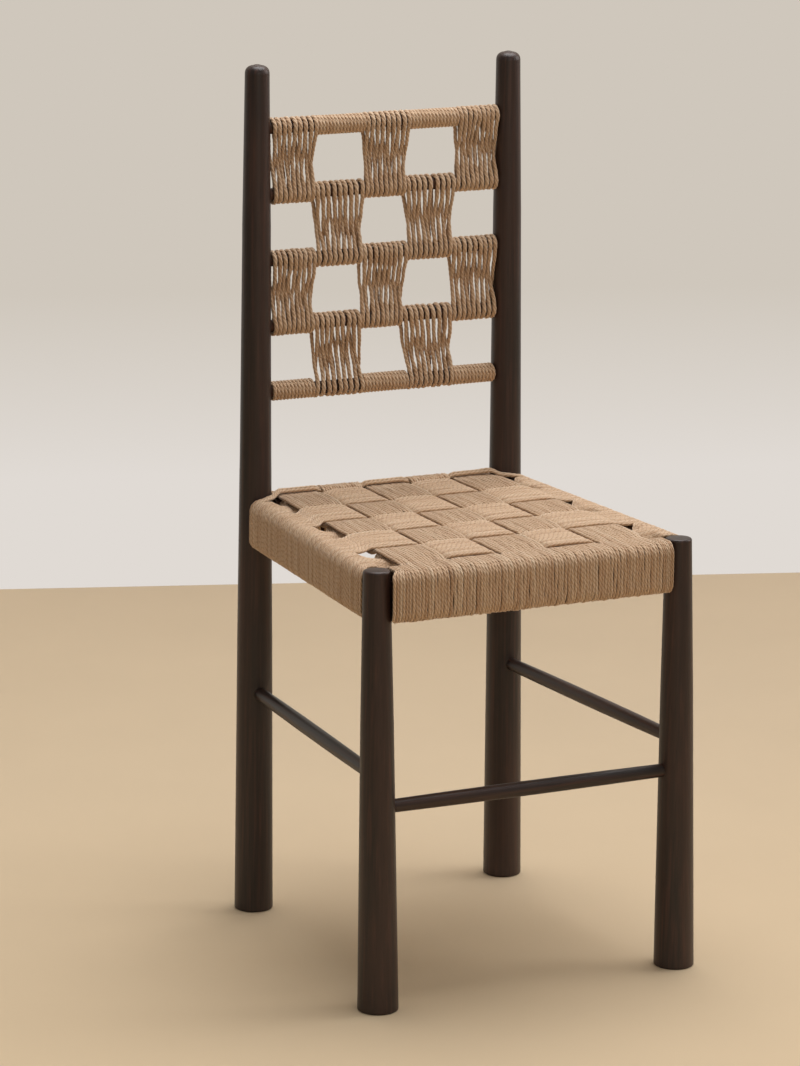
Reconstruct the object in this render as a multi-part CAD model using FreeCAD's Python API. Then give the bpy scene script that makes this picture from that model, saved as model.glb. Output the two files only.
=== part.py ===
# An accent chair: a turned dark wood frame, a seat woven from cord over four rails, and a
# back of five rungs with cord wound between them in a chequered pattern.
# The front faces -Y, +X is the right-hand side as seen from the front, +Z is up.
# The origin is on the floor, below the middle of the chair's box.  Lengths are in millimetres.
import FreeCAD
import Part
import math
import os

V = FreeCAD.Vector

# Where the axes of the four turned uprights run.
post_height = 921.5          # rear posts, floor to tip
leg_height = 460.0           # front legs, floor to tip
seat_depth = 345.3           # front axes to rear axes, at the seat
leg_spread_foot = 346.6      # between the front axes, at the floor
leg_spread_tip = 347.0
post_spread_foot = 305.0     # between the rear axes, at the floor
post_spread_tip = 296.1
post_rake = 12.0             # how far a post's tip lies behind its foot
leg_splay = 14.6             # how far a front foot stands ahead of its tip

# Diameters of a rear post, from the foot up, and the heights where its taper changes.
post_foot_diameter = 41.9
post_hip_diameter = 38.0
post_seat_diameter = 34.3
post_shoulder_diameter = 30.5
post_tip_diameter = 26.2
post_hip_height = 300.0
post_seat_height = 485.0
post_shoulder_height = 750.0
post_tip_round = 8.0
post_tip_crown = 1.2

# Diameters of a front leg.
leg_foot_diameter = 42.5
leg_knee_diameter = 34.2
leg_tip_diameter = 28.0
leg_knee_height = 300.0
leg_tip_round = 2.6
leg_tip_crown = 0.5
foot_round = 2.0             # rounding of every foot's lower edge

# Joinery.
fit_gap = 0.15               # clearance round a tenon or a dowel in its hole
shoulder_gap = 0.5           # between a rail's shoulder and the round upright
tenon_thickness = 8.0
tenon_height = 27.0
tenon_stop = 5.4             # from a tenon's end to the axis of its upright
dowel_past_axis = 4.0        # how far a round end goes beyond the axis of its upright

# Stretchers.
front_stretcher_height = 212.8
side_stretcher_height = 244.6
stretcher_end_diameter = 14.0
stretcher_middle_diameter = 15.6

# Seat rails.
rail_drop = 5.3              # from the tip of a front leg down to the rails' upper faces
rail_height = 42.8
rail_top = leg_height - rail_drop
rail_bottom = rail_top - rail_height
front_rail_thickness = 28.0
front_rail_lead = 2.2        # how far the front rail sits ahead of the leg axes
rear_rail_thickness = 29.0
side_rail_thickness = 20.0
rail_round = 7.0
rear_rail_round = 5.0

# Back rungs.
top_rung_drop = 68.0         # from the posts' tips down to the top rung
top_rung_height = post_height - top_rung_drop
rung_spacing = 70.5
rung_diameter = 13.0
rung_count = 5
column_count = 5
column_margin = 0.6          # bare rung between a post and the first cord

# Cord of the seat.
cord = 3.4
cord_lift = 0.3              # play between cord and wood
layer_gap = 0.4              # play between cords that cross
weave_slot = 6.0             # opening between woven bands, where the others dive through
band_gap = 0.6               # between bands where they lie side by side on a rail
end_room = 1.2               # between the cords on a side rail and the uprights
dive_radius = 2.5            # bend of a band as it dives
dive_angle = 45.0
edge_dive_angle = 70.0       # at the rear rail, where the rise is two layers
crown_angle = 9.0            # slope at the ends of a pillowed crossing
warp_count = 5
row_count = 5
rear_warp_pitch = 52.8
front_warp_pitch = 57.0
rear_slot_lead = 1.0         # rear slot, behind the rear rail's inner face
front_slot_lead = 7.2        # front slot, behind the front rail's inner face
tail_height = 22.0           # where a band's end is tacked, above the rail's lower face
spread_run = 8.0             # in which the bands spread to close up on a rail
rear_row_width = 11.5        # the thin rearmost row, on the side rails
post_pass = 2.5              # room between the rearmost row and a post

# Tacks that hold the ends of the seat cord.
tack_shank_diameter = 1.8
tack_head_diameter = 6.4
tack_head_thickness = 1.0
tack_length = 13.0
tack_inset = 6.0             # from the end of a band
tack_shares = (0.25, 0.75)   # of a band's width

# Windings of the back.
panel_loops = 9
strand_gap = 0.45            # between two strands of a panel, where they pass each other
winding_turns = 12.5
turn_gap = 0.6
panel_margin = 0.6           # from a column's edge to its cord
measure_step = 1.5           # between the points that the gaps are measured on
neighbour_shares = (0.25, 1.25)  # of a loop: how far along the cord the next loop lies

overrun = 30.0               # how far cutting shapes reach past what they cut
hair = 0.001
middle_share = 0.5
post_facets = (270, 240, 205, 180)   # corners of the rearmost row round a post, in degrees


def unit(vector):
    """The same direction, at length one."""
    return vector / vector.Length


def mix(a, b, share):
    """The value or point a share of the way from a to b."""
    return a + (b - a) * share


class Upright:
    """A turned post or leg: a straight leaning axis, and a diameter at each height."""

    def __init__(self, foot, tip, stations, tip_round, tip_crown):
        self.foot = foot
        self.tip = tip
        self.stations = stations
        self.tip_round = tip_round
        self.tip_crown = tip_crown

    def centre(self, z):
        """Point of the axis at a height."""
        return mix(self.foot, self.tip, z / self.tip.z)

    def radius(self, z):
        """Radius at a height, along straight tapers between the stations."""
        for (low, wide), (high, narrow) in zip(self.stations, self.stations[1:]):
            if z <= high or high == self.stations[-1][0]:
                return mix(wide, narrow, (z - low) / (high - low)) / 2

    def solid(self):
        """The turned solid, cut flat at the floor, before any joint is cut in it."""
        length = (self.tip - self.foot).Length
        stretch = length / self.tip.z
        below = self.radius(0)
        rim = self.radius(self.tip.z)
        shoulder = length - self.tip_crown - self.tip_round
        side = [V(0, 0, -below), V(self.radius(-below), 0, -below)]
        side += [V(wide / 2, 0, z * stretch) for z, wide in self.stations[1:-1]]
        side.append(V(rim, 0, shoulder))
        edges = [Part.makeLine(a, b) for a, b in zip(side, side[1:])]
        half = math.sqrt(0.5)
        turn = V(rim - self.tip_round * (1 - half), 0, shoulder + self.tip_round * half)
        flat = V(rim - self.tip_round, 0, shoulder + self.tip_round)
        edges.append(Part.Arc(side[-1], turn, flat).toShape())
        ball = (flat.x ** 2 + self.tip_crown ** 2) / (2 * self.tip_crown)
        dome = V(flat.x / 2, 0, length - ball + math.sqrt(ball ** 2 - flat.x ** 2 / 4))
        edges.append(Part.Arc(flat, dome, V(0, 0, length)).toShape())
        edges.append(Part.makeLine(V(0, 0, length), side[0]))
        body = Part.Face(Part.Wire(edges)).revolve(V(0, 0, 0), V(0, 0, 1), 360)
        body.Placement = FreeCAD.Placement(self.foot, FreeCAD.Rotation(V(0, 0, 1), self.tip - self.foot))
        reach = below + overrun
        floor = Part.makeBox(2 * reach, 2 * reach, reach, self.foot - V(reach, reach, reach))
        body = body.cut(floor)
        rim_edges = [e for e in body.Edges if e.BoundBox.ZMax < hair]
        return body.makeFillet(foot_round, rim_edges)


def uprights():
    """The two rear posts and the two front legs, by node name."""
    post_stations = [
        (0, post_foot_diameter),
        (post_hip_height, post_hip_diameter),
        (post_seat_height, post_seat_diameter),
        (post_shoulder_height, post_shoulder_diameter),
        (post_height, post_tip_diameter),
    ]
    leg_stations = [
        (0, leg_foot_diameter),
        (leg_knee_height, leg_knee_diameter),
        (leg_height, leg_tip_diameter),
    ]
    rail_middle = (rail_top + rail_bottom) / 2
    post_foot_y = seat_depth / 2 - post_rake * rail_middle / post_height
    leg_foot_y = -seat_depth / 2 - leg_splay * rail_middle / leg_height
    found = {}
    for side, name in ((-1, "left"), (1, "right")):
        foot = V(side * post_spread_foot / 2, post_foot_y, 0)
        tip = V(side * post_spread_tip / 2, post_foot_y + post_rake, post_height)
        found["rear_post_" + name] = Upright(foot, tip, post_stations, post_tip_round, post_tip_crown)
        foot = V(side * leg_spread_foot / 2, leg_foot_y, 0)
        tip = V(side * leg_spread_tip / 2, leg_foot_y + leg_splay, leg_height)
        found["front_leg_" + name] = Upright(foot, tip, leg_stations, leg_tip_round, leg_tip_crown)
    return found


class Rail:
    """A seat rail between two uprights, with a tenon at each end."""

    def __init__(self, first, last, thickness, corner, lead=0):
        self.thickness = thickness
        self.corner = corner
        self.lead = lead
        self.middle = (rail_top + rail_bottom) / 2
        self.start = first.centre(self.middle)
        end = last.centre(self.middle)
        self.span = (end - self.start).Length
        self.way = unit(end - self.start)
        self.first_shoulder = first.radius(rail_bottom) + shoulder_gap
        self.last_shoulder = last.radius(rail_bottom) + shoulder_gap

    def placed(self, shape):
        """A shape made along +X from the first upright's axis, moved to the rail's place."""
        shape.Placement = FreeCAD.Placement(self.start, FreeCAD.Rotation(V(1, 0, 0), self.way))
        return shape

    def core(self, gap):
        """The bar that makes both tenons, grown by a gap on its sides."""
        thick = tenon_thickness + 2 * gap
        high = tenon_height + 2 * gap
        length = self.span - 2 * tenon_stop
        return self.placed(Part.makeBox(length, thick, high, V(tenon_stop, -thick / 2, -high / 2)))

    def solid(self):
        """The rounded bar between its shoulders, with its tenons."""
        length = self.span - self.first_shoulder - self.last_shoulder
        high = rail_top - rail_bottom
        low_corner = V(self.first_shoulder, -self.thickness / 2 - self.lead, -high / 2)
        bar = Part.makeBox(length, self.thickness, high, low_corner)
        bar = bar.makeFillet(self.corner, [e for e in bar.Edges if abs(e.Length - length) < hair])
        return self.placed(bar).fuse(self.core(0)).removeSplitter()

    def point(self, share, out):
        """Point of the wood's middle height, a share along the span and out sideways."""
        sideways = V(-self.way.y, self.way.x, 0)
        return self.start + self.way * (self.span * share) + sideways * out


def seat_rails(up):
    """The four seat rails, by node name."""
    left_leg, right_leg = up["front_leg_left"], up["front_leg_right"]
    left_post, right_post = up["rear_post_left"], up["rear_post_right"]
    return {
        "seat_rail_front": Rail(left_leg, right_leg, front_rail_thickness, rail_round, front_rail_lead),
        "seat_rail_rear": Rail(left_post, right_post, rear_rail_thickness, rear_rail_round),
        "seat_rail_left": Rail(left_leg, left_post, side_rail_thickness, rail_round),
        "seat_rail_right": Rail(right_leg, right_post, side_rail_thickness, rail_round),
    }


class Dowel:
    """A round bar between two uprights, which may swell towards its middle."""

    def __init__(self, first, last, z, end_diameter, middle_diameter):
        self.start = first.centre(z)
        end = last.centre(z)
        self.span = (end - self.start).Length
        self.way = unit(end - self.start)
        self.end_radius = end_diameter / 2
        self.middle_radius = middle_diameter / 2
        self.mouths = (first.radius(z), self.span - last.radius(z))

    def socket(self):
        """What the two uprights lose to take the bar's ends."""
        length = self.span + 2 * dowel_past_axis
        hole = Part.makeCylinder(self.end_radius + fit_gap, length, V(0, 0, -dowel_past_axis))
        return self.placed(hole)

    def placed(self, shape):
        """A shape made along +Z from the first upright's axis, moved to the bar's place."""
        shape.Placement = FreeCAD.Placement(self.start, FreeCAD.Rotation(V(0, 0, 1), self.way))
        return shape

    def solid(self):
        """The turned bar."""
        low, high = -dowel_past_axis, self.span + dowel_past_axis
        if self.middle_radius == self.end_radius:
            return self.placed(Part.makeCylinder(self.end_radius, high - low, V(0, 0, low)))
        near, far = self.mouths
        edges = [
            Part.makeLine(V(0, 0, low), V(self.end_radius, 0, low)),
            Part.makeLine(V(self.end_radius, 0, low), V(self.end_radius, 0, near)),
            Part.Arc(
                V(self.end_radius, 0, near),
                V(self.middle_radius, 0, (near + far) / 2),
                V(self.end_radius, 0, far),
            ).toShape(),
            Part.makeLine(V(self.end_radius, 0, far), V(self.end_radius, 0, high)),
            Part.makeLine(V(self.end_radius, 0, high), V(0, 0, high)),
            Part.makeLine(V(0, 0, high), V(0, 0, low)),
        ]
        bar = Part.Face(Part.Wire(edges)).revolve(V(0, 0, 0), V(0, 0, 1), 360)
        return self.placed(bar)


def stretchers(up):
    """The three stretchers: one between the front legs and one on each side."""
    sizes = (stretcher_end_diameter, stretcher_middle_diameter)
    left_leg, right_leg = up["front_leg_left"], up["front_leg_right"]
    return {
        "front_stretcher": Dowel(left_leg, right_leg, front_stretcher_height, *sizes),
        "side_stretcher_left": Dowel(left_leg, up["rear_post_left"], side_stretcher_height, *sizes),
        "side_stretcher_right": Dowel(right_leg, up["rear_post_right"], side_stretcher_height, *sizes),
    }


def rung_height(index):
    """Height of a back rung, counted from zero at the top."""
    return top_rung_height - index * rung_spacing


def rungs(up):
    """The back rungs, by node name, counted from the top."""
    posts = (up["rear_post_left"], up["rear_post_right"])
    return {
        "back_rung_%d" % (i + 1): Dowel(*posts, rung_height(i), rung_diameter, rung_diameter)
        for i in range(rung_count)
    }


class Route:
    """A flat path of tangent lines and arcs, which a strip of even thickness follows.

    Its two coordinates are a distance along the seat and a height, and its heading is in
    degrees: 0 is along the seat and 90 is up.
    """

    def __init__(self, s, z, heading):
        self.s = s
        self.z = z
        self.heading = heading
        self.parts = []

    def run(self, length):
        """Go straight on."""
        if length > hair:
            self.parts.append((self.s, self.z, self.heading, length, 0))
            self.s, self.z = self.at(self.parts[-1], 1, 0)

    def bend(self, radius, turn):
        """Go round an arc; a positive turn is to the left."""
        if abs(turn) > hair:
            self.parts.append((self.s, self.z, self.heading, radius, turn))
            self.s, self.z = self.at(self.parts[-1], 1, 0)
            self.heading += turn

    def at(self, part, share, offset):
        """The place a share of the way through a part, offset to its left."""
        s, z, heading, size, turn = part
        aim = math.radians(heading)
        if turn == 0:
            along = size * share
            return (s + along * math.cos(aim) - offset * math.sin(aim),
                    z + along * math.sin(aim) + offset * math.cos(aim))
        sign = math.copysign(1, turn)
        centre_s = s - sign * size * math.sin(aim)
        centre_z = z + sign * size * math.cos(aim)
        later = aim + math.radians(turn * share)
        reach = sign * size - offset
        return centre_s + reach * math.sin(later), centre_z - reach * math.cos(later)

    def outline(self, thickness, place):
        """Closed wire of a strip that is centred on the path; place gives the points in space."""
        edges = []
        sides = ((self.parts, 0, 1, thickness / 2), (self.parts[::-1], 1, 0, -thickness / 2))
        for parts, near, far, offset in sides:
            for part in parts:
                a, b = (place(*self.at(part, share, offset)) for share in (near, far))
                if edges and (a - self.last).Length > hair:
                    edges.append(Part.makeLine(self.last, a))
                if not edges:
                    first = a
                if part[-1] == 0:
                    edges.append(Part.makeLine(a, b))
                else:
                    middle = place(*self.at(part, middle_share, offset))
                    edges.append(Part.Arc(a, middle, b).toShape())
                self.last = b
        edges.append(Part.makeLine(self.last, first))
        return Part.Wire(edges)


# The seat's levels: the middle of a band that lies on a rail or over the others, and of one
# that passes under.  The rear row and the bands over it lie one layer higher still.
over_level = rail_top + cord_lift + cord / 2
layer_step = cord + layer_gap
under_level = over_level - layer_step
upper_level = over_level + layer_step
crown_drift = dive_radius * (1 - math.cos(math.radians(crown_angle)))
wrap = cord_lift + cord

# The four faces that the weave is set out from.
front_outer = -seat_depth / 2 - front_rail_lead - front_rail_thickness / 2
front_inner = front_outer + front_rail_thickness
rear_inner = seat_depth / 2 - rear_rail_thickness / 2
rear_outer = rear_inner + rear_rail_thickness
front_slot = front_inner + front_slot_lead
rear_slot = rear_inner + rear_slot_lead
row_pitch = (rear_slot - front_slot) / row_count
rear_row_edge = rear_outer - rear_rail_round


def start_round(route_s, outer_s, inner_s, corner):
    """A route that starts on a rail's inner face, goes round below it and onto its top."""
    bend = corner + cord_lift + cord / 2
    route = Route(route_s, rail_bottom + tail_height, -90)
    route.run(tail_height - corner)
    route.bend(bend, -90)
    route.run(abs(inner_s - outer_s) - 2 * corner)
    route.bend(bend, -90)
    route.run(rail_top - rail_bottom - 2 * corner)
    route.bend(bend, -90)
    return route


def end_round(route, outer_s, inner_s, corner):
    """Take a route over a rail, round below it and up its inner face."""
    bend = corner + cord_lift + cord / 2
    route.run(outer_s - corner - route.s)
    route.bend(bend, -90)
    route.run(route.z - rail_bottom - corner)
    route.bend(bend, -90)
    route.run(abs(outer_s - inner_s) - 2 * corner)
    route.bend(bend, -90)
    route.run(tail_height - corner)


def dive(rise, heading_in, heading_out, angle):
    """The plan length of a passage from one level to another, and its straight part."""
    lean_in = math.radians(heading_in)
    lean_out = math.radians(heading_out)
    if abs(rise) < layer_step / 2:
        return dive_radius * abs(math.sin(lean_out) - math.sin(lean_in)), 0
    slope = math.radians(angle)
    sign = math.copysign(1, rise)
    dropped = dive_radius * (math.cos(lean_in) + math.cos(lean_out) - 2 * math.cos(slope))
    straight = (abs(rise) - dropped) / math.sin(slope)
    bends = dive_radius * (2 * math.sin(slope) - sign * (math.sin(lean_in) + math.sin(lean_out)))
    return bends + straight * math.cos(slope), straight


def weave(route, slots, stretches, angles):
    """Take a route through the slots.

    Each stretch after a slot is a level and a crown: 1 arches up, -1 arches down and 0 is
    flat.  The stretch before the first slot is flat.
    """
    lean_out = 0
    for index, (slot, (level, crown), angle) in enumerate(zip(slots, stretches, angles)):
        lean_in = lean_out
        next_lean = crown * crown_angle
        rise = level - route.z if index == 0 else level - held_level
        length, straight = dive(rise, lean_in, next_lean, angle)
        chord = slot - length / 2 - route.s
        if lean_in == 0:
            route.run(chord)
        else:
            route.bend(chord / (2 * math.sin(math.radians(abs(lean_in)))), 2 * lean_in)
        if straight:
            steep = math.copysign(angle, rise)
            route.bend(dive_radius, steep - lean_in)
            route.run(straight)
            route.bend(dive_radius, next_lean - steep)
        else:
            route.bend(dive_radius, next_lean - lean_in)
        held_level = level
        lean_out = -next_lean
    return route


def slot_x(index, y):
    """Where a slot between warp bands runs, at a depth; the bands fan out to the front."""
    share = (y - front_slot) / (rear_slot - front_slot)
    return (index - warp_count / 2) * mix(front_warp_pitch, rear_warp_pitch, share)


def prism(points):
    """An upright prism over an outline, tall enough to hold the whole seat."""
    low = rail_bottom - overrun
    corners = [V(x, y, low) for x, y in points]
    outline = Part.makePolygon(corners + corners[:1])
    return Part.Face(outline).extrude(V(0, 0, upper_level + overrun - low))


def warp_route(over_first):
    """The path of a warp band from the front rail to the rear rail."""
    arch = (over_level + crown_drift, 1)
    sag = (under_level, -1)
    stretches = [arch if (row % 2 == 0) == over_first else sag for row in range(row_count)]
    stretches.append((over_level, 0) if over_first else (upper_level, 0))
    slots = [front_slot + row * row_pitch for row in range(row_count + 1)]
    angles = [dive_angle] * row_count + [edge_dive_angle]
    route = start_round(front_inner + cord_lift + cord / 2, front_outer, front_inner, rail_round)
    weave(route, slots, stretches, angles)
    end_round(route, rear_outer, rear_inner, rear_rail_round)
    return route


def warp_plan(index):
    """Outline of one warp band from above: it spreads where it lies on the two rails."""
    front_edge = front_slot - weave_slot / 2
    stations = [
        (front_outer - overrun, band_gap),
        (front_edge - spread_run, band_gap),
        (front_edge, weave_slot),
        (rear_row_edge, weave_slot),
        (rear_row_edge + spread_run, band_gap),
        (rear_outer + overrun, band_gap),
    ]
    left = [(slot_x(index, y) + gap / 2, y) for y, gap in stations]
    right = [(slot_x(index + 1, y) - gap / 2, y) for y, gap in stations]
    return prism(left + right[::-1])


def warp_bands():
    """The five bands that run from front to rear."""
    reach = leg_spread_tip / 2
    sheets = {}
    for over_first in (True, False):
        outline = warp_route(over_first).outline(cord, lambda s, z: V(-reach, s, z))
        sheets[over_first] = Part.Face(outline).extrude(V(2 * reach, 0, 0))
    return {
        "seat_warp_%s" % "abcde"[i]: sheets[i % 2 == 0].common(warp_plan(i))
        for i in range(warp_count)
    }


class SideFaces:
    """Where the side rails' faces stand at a depth, as distances from the middle."""

    def __init__(self, rail):
        first = rail.point(0, 0)
        last = rail.point(1, 0)
        self.near_y, self.near_x = first.y, abs(first.x)
        self.far_y, self.far_x = last.y, abs(last.x)
        lean = math.hypot(self.far_y - self.near_y, self.far_x - self.near_x)
        self.half = side_rail_thickness / 2 * lean / (self.far_y - self.near_y)

    def middle(self, y):
        """Distance of the rail's middle line."""
        return mix(self.near_x, self.far_x, (y - self.near_y) / (self.far_y - self.near_y))

    def inner(self, y):
        """Distance of the inner face."""
        return self.middle(y) - self.half

    def outer(self, y):
        """Distance of the outer face."""
        return self.middle(y) + self.half


def weft_route(faces, y, stretches):
    """The path of a weft band at a depth, from the left rail to the right rail."""
    inner, outer = faces.inner(y), faces.outer(y)
    route = start_round(cord_lift + cord / 2 - inner, -outer, -inner, rail_round)
    slots = [slot_x(i, y) for i in range(warp_count + 1)]
    weave(route, slots, stretches, [dive_angle] * len(slots))
    end_round(route, outer, inner, rail_round)
    return route


def weft_sheet(faces, low, high, stretches):
    """A weft band between two depths, before it is cut to its outline."""
    wires = []
    for y in (low, high):
        route = weft_route(faces, y, stretches)
        wires.append(route.outline(cord, lambda s, z, depth=y: V(s, depth, z)))
    return Part.makeLoft(wires, True, True)


def mirrored(half_outline):
    """A closed outline from its right-hand half, given from front to rear."""
    return half_outline + [(-x, y) for x, y in reversed(half_outline)]


def rail_rows(front_end, rear_end):
    """Where the rows meet on a side rail, from the front leg to the rear post."""
    pitch = (rear_end - rear_row_width - front_end) / row_count
    return [front_end + i * pitch for i in range(row_count + 1)]


def weft_bands(rails, up):
    """The five rows that run from side to side, and the thin one at the rear."""
    left = rails["seat_rail_left"]
    faces = SideFaces(left)
    front_end = (left.start + left.way * left.first_shoulder).y + end_room
    rear_end = (left.start + left.way * (left.span - left.last_shoulder)).y - end_room
    on_rail = rail_rows(front_end, rear_end)
    reach = leg_spread_tip / 2 + overrun
    bands = {}
    for index in range(row_count):
        low, high = on_rail[index] + band_gap / 2, on_rail[index + 1] - band_gap / 2
        slot_low = front_slot + index * row_pitch + weave_slot / 2
        slot_high = front_slot + (index + 1) * row_pitch - weave_slot / 2
        half = [
            (slot_x(warp_count, slot_low) - weave_slot / 2, slot_low),
            (faces.inner(low), low),
            (reach, low),
            (reach, high),
            (faces.inner(high), high),
            (slot_x(warp_count, slot_high) - weave_slot / 2, slot_high),
        ]
        over_first = index % 2 == 1
        arch = (over_level + crown_drift, 1)
        sag = (under_level, -1)
        stretches = [arch if (col % 2 == 0) == over_first else sag for col in range(warp_count)]
        stretches.append((over_level, 0))
        sheet = weft_sheet(faces, min(low, slot_low), max(high, slot_high), stretches)
        bands["seat_weft_%d" % (row_count - index)] = sheet.common(prism(mirrored(half)))
    bands["seat_weft_rear"] = rear_row(faces, on_rail[-1], up["rear_post_right"])
    return bands


def rear_row(faces, low, post):
    """The thin rearmost row: on the side rails before the posts, then on the rear rail."""
    start = low + band_gap / 2
    inner_edge = rear_slot + weave_slot / 2
    reach = leg_spread_tip / 2 + overrun
    axis = post.centre(over_level)
    keep_off = post.radius(over_level) + post_pass
    post_side = [V(math.cos(a), math.sin(a), 0) for a in map(math.radians, post_facets)]
    round_post = [(axis.x + keep_off * v.x, axis.y + keep_off * v.y) for v in post_side]
    half = [
        (slot_x(warp_count, inner_edge), inner_edge),
        (faces.inner(start), start),
        (reach, start),
        (reach, round_post[0][1]),
    ]
    half += round_post
    half.append((round_post[-1][0], rear_row_edge))
    stretches = [(upper_level, 0) if col % 2 == 0 else (over_level, 0) for col in range(warp_count)]
    stretches.append((over_level, 0))
    sheet = weft_sheet(faces, start, rear_row_edge, stretches)
    return sheet.common(prism(mirrored(half)))


def front_end_wraps(front_rail):
    """The extra turns on the front rail, between the outer warp bands and the legs."""
    end_x = front_rail.span / 2 - front_rail.first_shoulder
    offset = cord_lift + cord / 2
    bend = rail_round + offset
    route = start_round(front_inner + offset, front_outer, front_inner, rail_round)
    route.run(front_inner - rail_round - route.s)
    route.bend(bend, -90)
    route.run(route.z - rail_bottom - tail_height - band_gap)
    outline = route.outline(cord, lambda s, z: V(-end_x, s, z))
    sheet = Part.Face(outline).extrude(V(2 * end_x, 0, 0))
    near, far = front_outer - overrun, front_slot
    wraps = {}
    for side, name in ((-1, "left"), (1, "right")):
        inner = [side * (slot_x(warp_count, y) + band_gap / 2) for y in (near, far)]
        plan = [(inner[0], near), (side * end_x, near), (side * end_x, far), (inner[1], far)]
        wraps["front_rail_wrap_" + name] = sheet.common(prism(plan))
    return wraps


def tack(point, into):
    """One tack: its head lies on the cord, and its shank goes through into the wood."""
    head_base = point - into * (wrap + fit_gap)
    head = Part.makeCylinder(tack_head_diameter / 2, tack_head_thickness, head_base, into * -1)
    shank = Part.makeCylinder(tack_shank_diameter / 2, tack_length, head_base, into)
    return head.fuse(shank).removeSplitter()


def tack_hole(point, into):
    """The hole of one tack, through the cord and in the wood."""
    head_base = point - into * (wrap + fit_gap)
    return Part.makeCylinder(tack_shank_diameter / 2 + fit_gap, tack_length, head_base, into)


def tack_places(rails):
    """Point on the wood and direction of every tack, by the rail that takes it."""
    z = rail_bottom + tail_height - tack_inset
    places = {name: [] for name in rails}
    for index in range(warp_count):
        for share in tack_shares:
            for name, y, into in (
                ("seat_rail_front", front_inner, V(0, -1, 0)),
                ("seat_rail_rear", rear_inner, V(0, 1, 0)),
            ):
                x = mix(slot_x(index, y), slot_x(index + 1, y), share)
                places[name].append((V(x, y, z), into))
    front_rail = rails["seat_rail_front"]
    end_x = front_rail.span / 2 - front_rail.first_shoulder
    wrap_x = (end_x + slot_x(warp_count, front_inner)) / 2
    for side in (-1, 1):
        places["seat_rail_front"].append((V(side * wrap_x, front_inner, z), V(0, -1, 0)))
    for name, side in (("seat_rail_left", -1), ("seat_rail_right", 1)):
        rail = rails[name]
        across = V(rail.way.y, -rail.way.x, 0) * side
        first = rail.first_shoulder
        length = rail.span - first - rail.last_shoulder - rear_row_width
        shares = [(row + share) / row_count for row in range(row_count) for share in tack_shares]
        alongs = [first + length * share for share in shares]
        alongs.append(first + length + rear_row_width / 2)
        for along in alongs:
            point = rail.start + rail.way * along - across * (side_rail_thickness / 2)
            places[name].append((V(point.x, point.y, z), across))
    return places


def arc_middle(start, aim, end):
    """Middle point of the arc that leaves start along aim and ends at end."""
    chord = end - start
    along = unit(chord)
    sideways = aim - along * aim.dot(along)
    lean = math.atan2(sideways.Length, aim.dot(along))
    return (start + end) / 2 + unit(sideways) * (chord.Length / 2 * math.tan(lean / 2))


def biarc(start, aim_start, end, aim_end):
    """Two arcs that join two points and keep to the direction at each."""
    across = end - start
    a = 2 * (1 - aim_start.dot(aim_end))
    b = across.dot(aim_start + aim_end)
    reach = (math.sqrt(b * b + a * across.dot(across)) - b) / a
    joint = (start + aim_start * reach + end - aim_end * reach) / 2
    return [
        Part.Arc(start, arc_middle(start, aim_start, joint), joint).toShape(),
        Part.Arc(joint, arc_middle(end, aim_end * -1, joint), end).toShape(),
    ]


class Winding:
    """One unbroken length of cord, as knots with a direction, joined by lines and arcs."""

    def __init__(self, diameter):
        self.diameter = diameter
        self.edges = []

    def straight(self, start, end):
        """Add a straight length."""
        self.edges.append(Part.makeLine(start, end))

    def turn(self, start, aim_start, end, aim_end):
        """Add a curved length."""
        self.edges += biarc(start, aim_start, end, aim_end)

    def length(self):
        """Length of the cord."""
        return sum(edge.Length for edge in self.edges)

    def solid(self):
        """The tube."""
        path = Part.Wire(self.edges)
        first = self.edges[0]
        start = first.valueAt(first.FirstParameter)
        ring = Part.makeCircle(self.diameter / 2, start, first.tangentAt(first.FirstParameter))
        shell = Part.BRepOffsetAPI.MakePipeShell(path)
        shell.add(Part.Wire([ring]))
        shell.build()
        shell.makeSolid()
        return shell.shape()

    def least_gap(self, loop_length):
        """Least gap between the cord and its neighbouring loops, measured on points."""
        points = []
        for edge in self.edges:
            count = max(2, int(edge.Length / measure_step))
            points += edge.discretize(count + 1)[:-1]
        step = self.length() / len(points)
        near, far = (int(loop_length * share / step) for share in neighbour_shares)
        least = min(
            (points[i] - points[j]).Length
            for i in range(len(points))
            for j in range(i + near, min(i + far, len(points)))
        )
        return least - self.diameter


def column_width(up):
    """Width of one of the back's equal columns, from the narrowest stretch of rung."""
    post = up["rear_post_right"]
    free = min(
        2 * (post.centre(rung_height(i)).x - post.radius(rung_height(i))) for i in range(rung_count)
    )
    return (free - 2 * column_margin) / column_count


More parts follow.
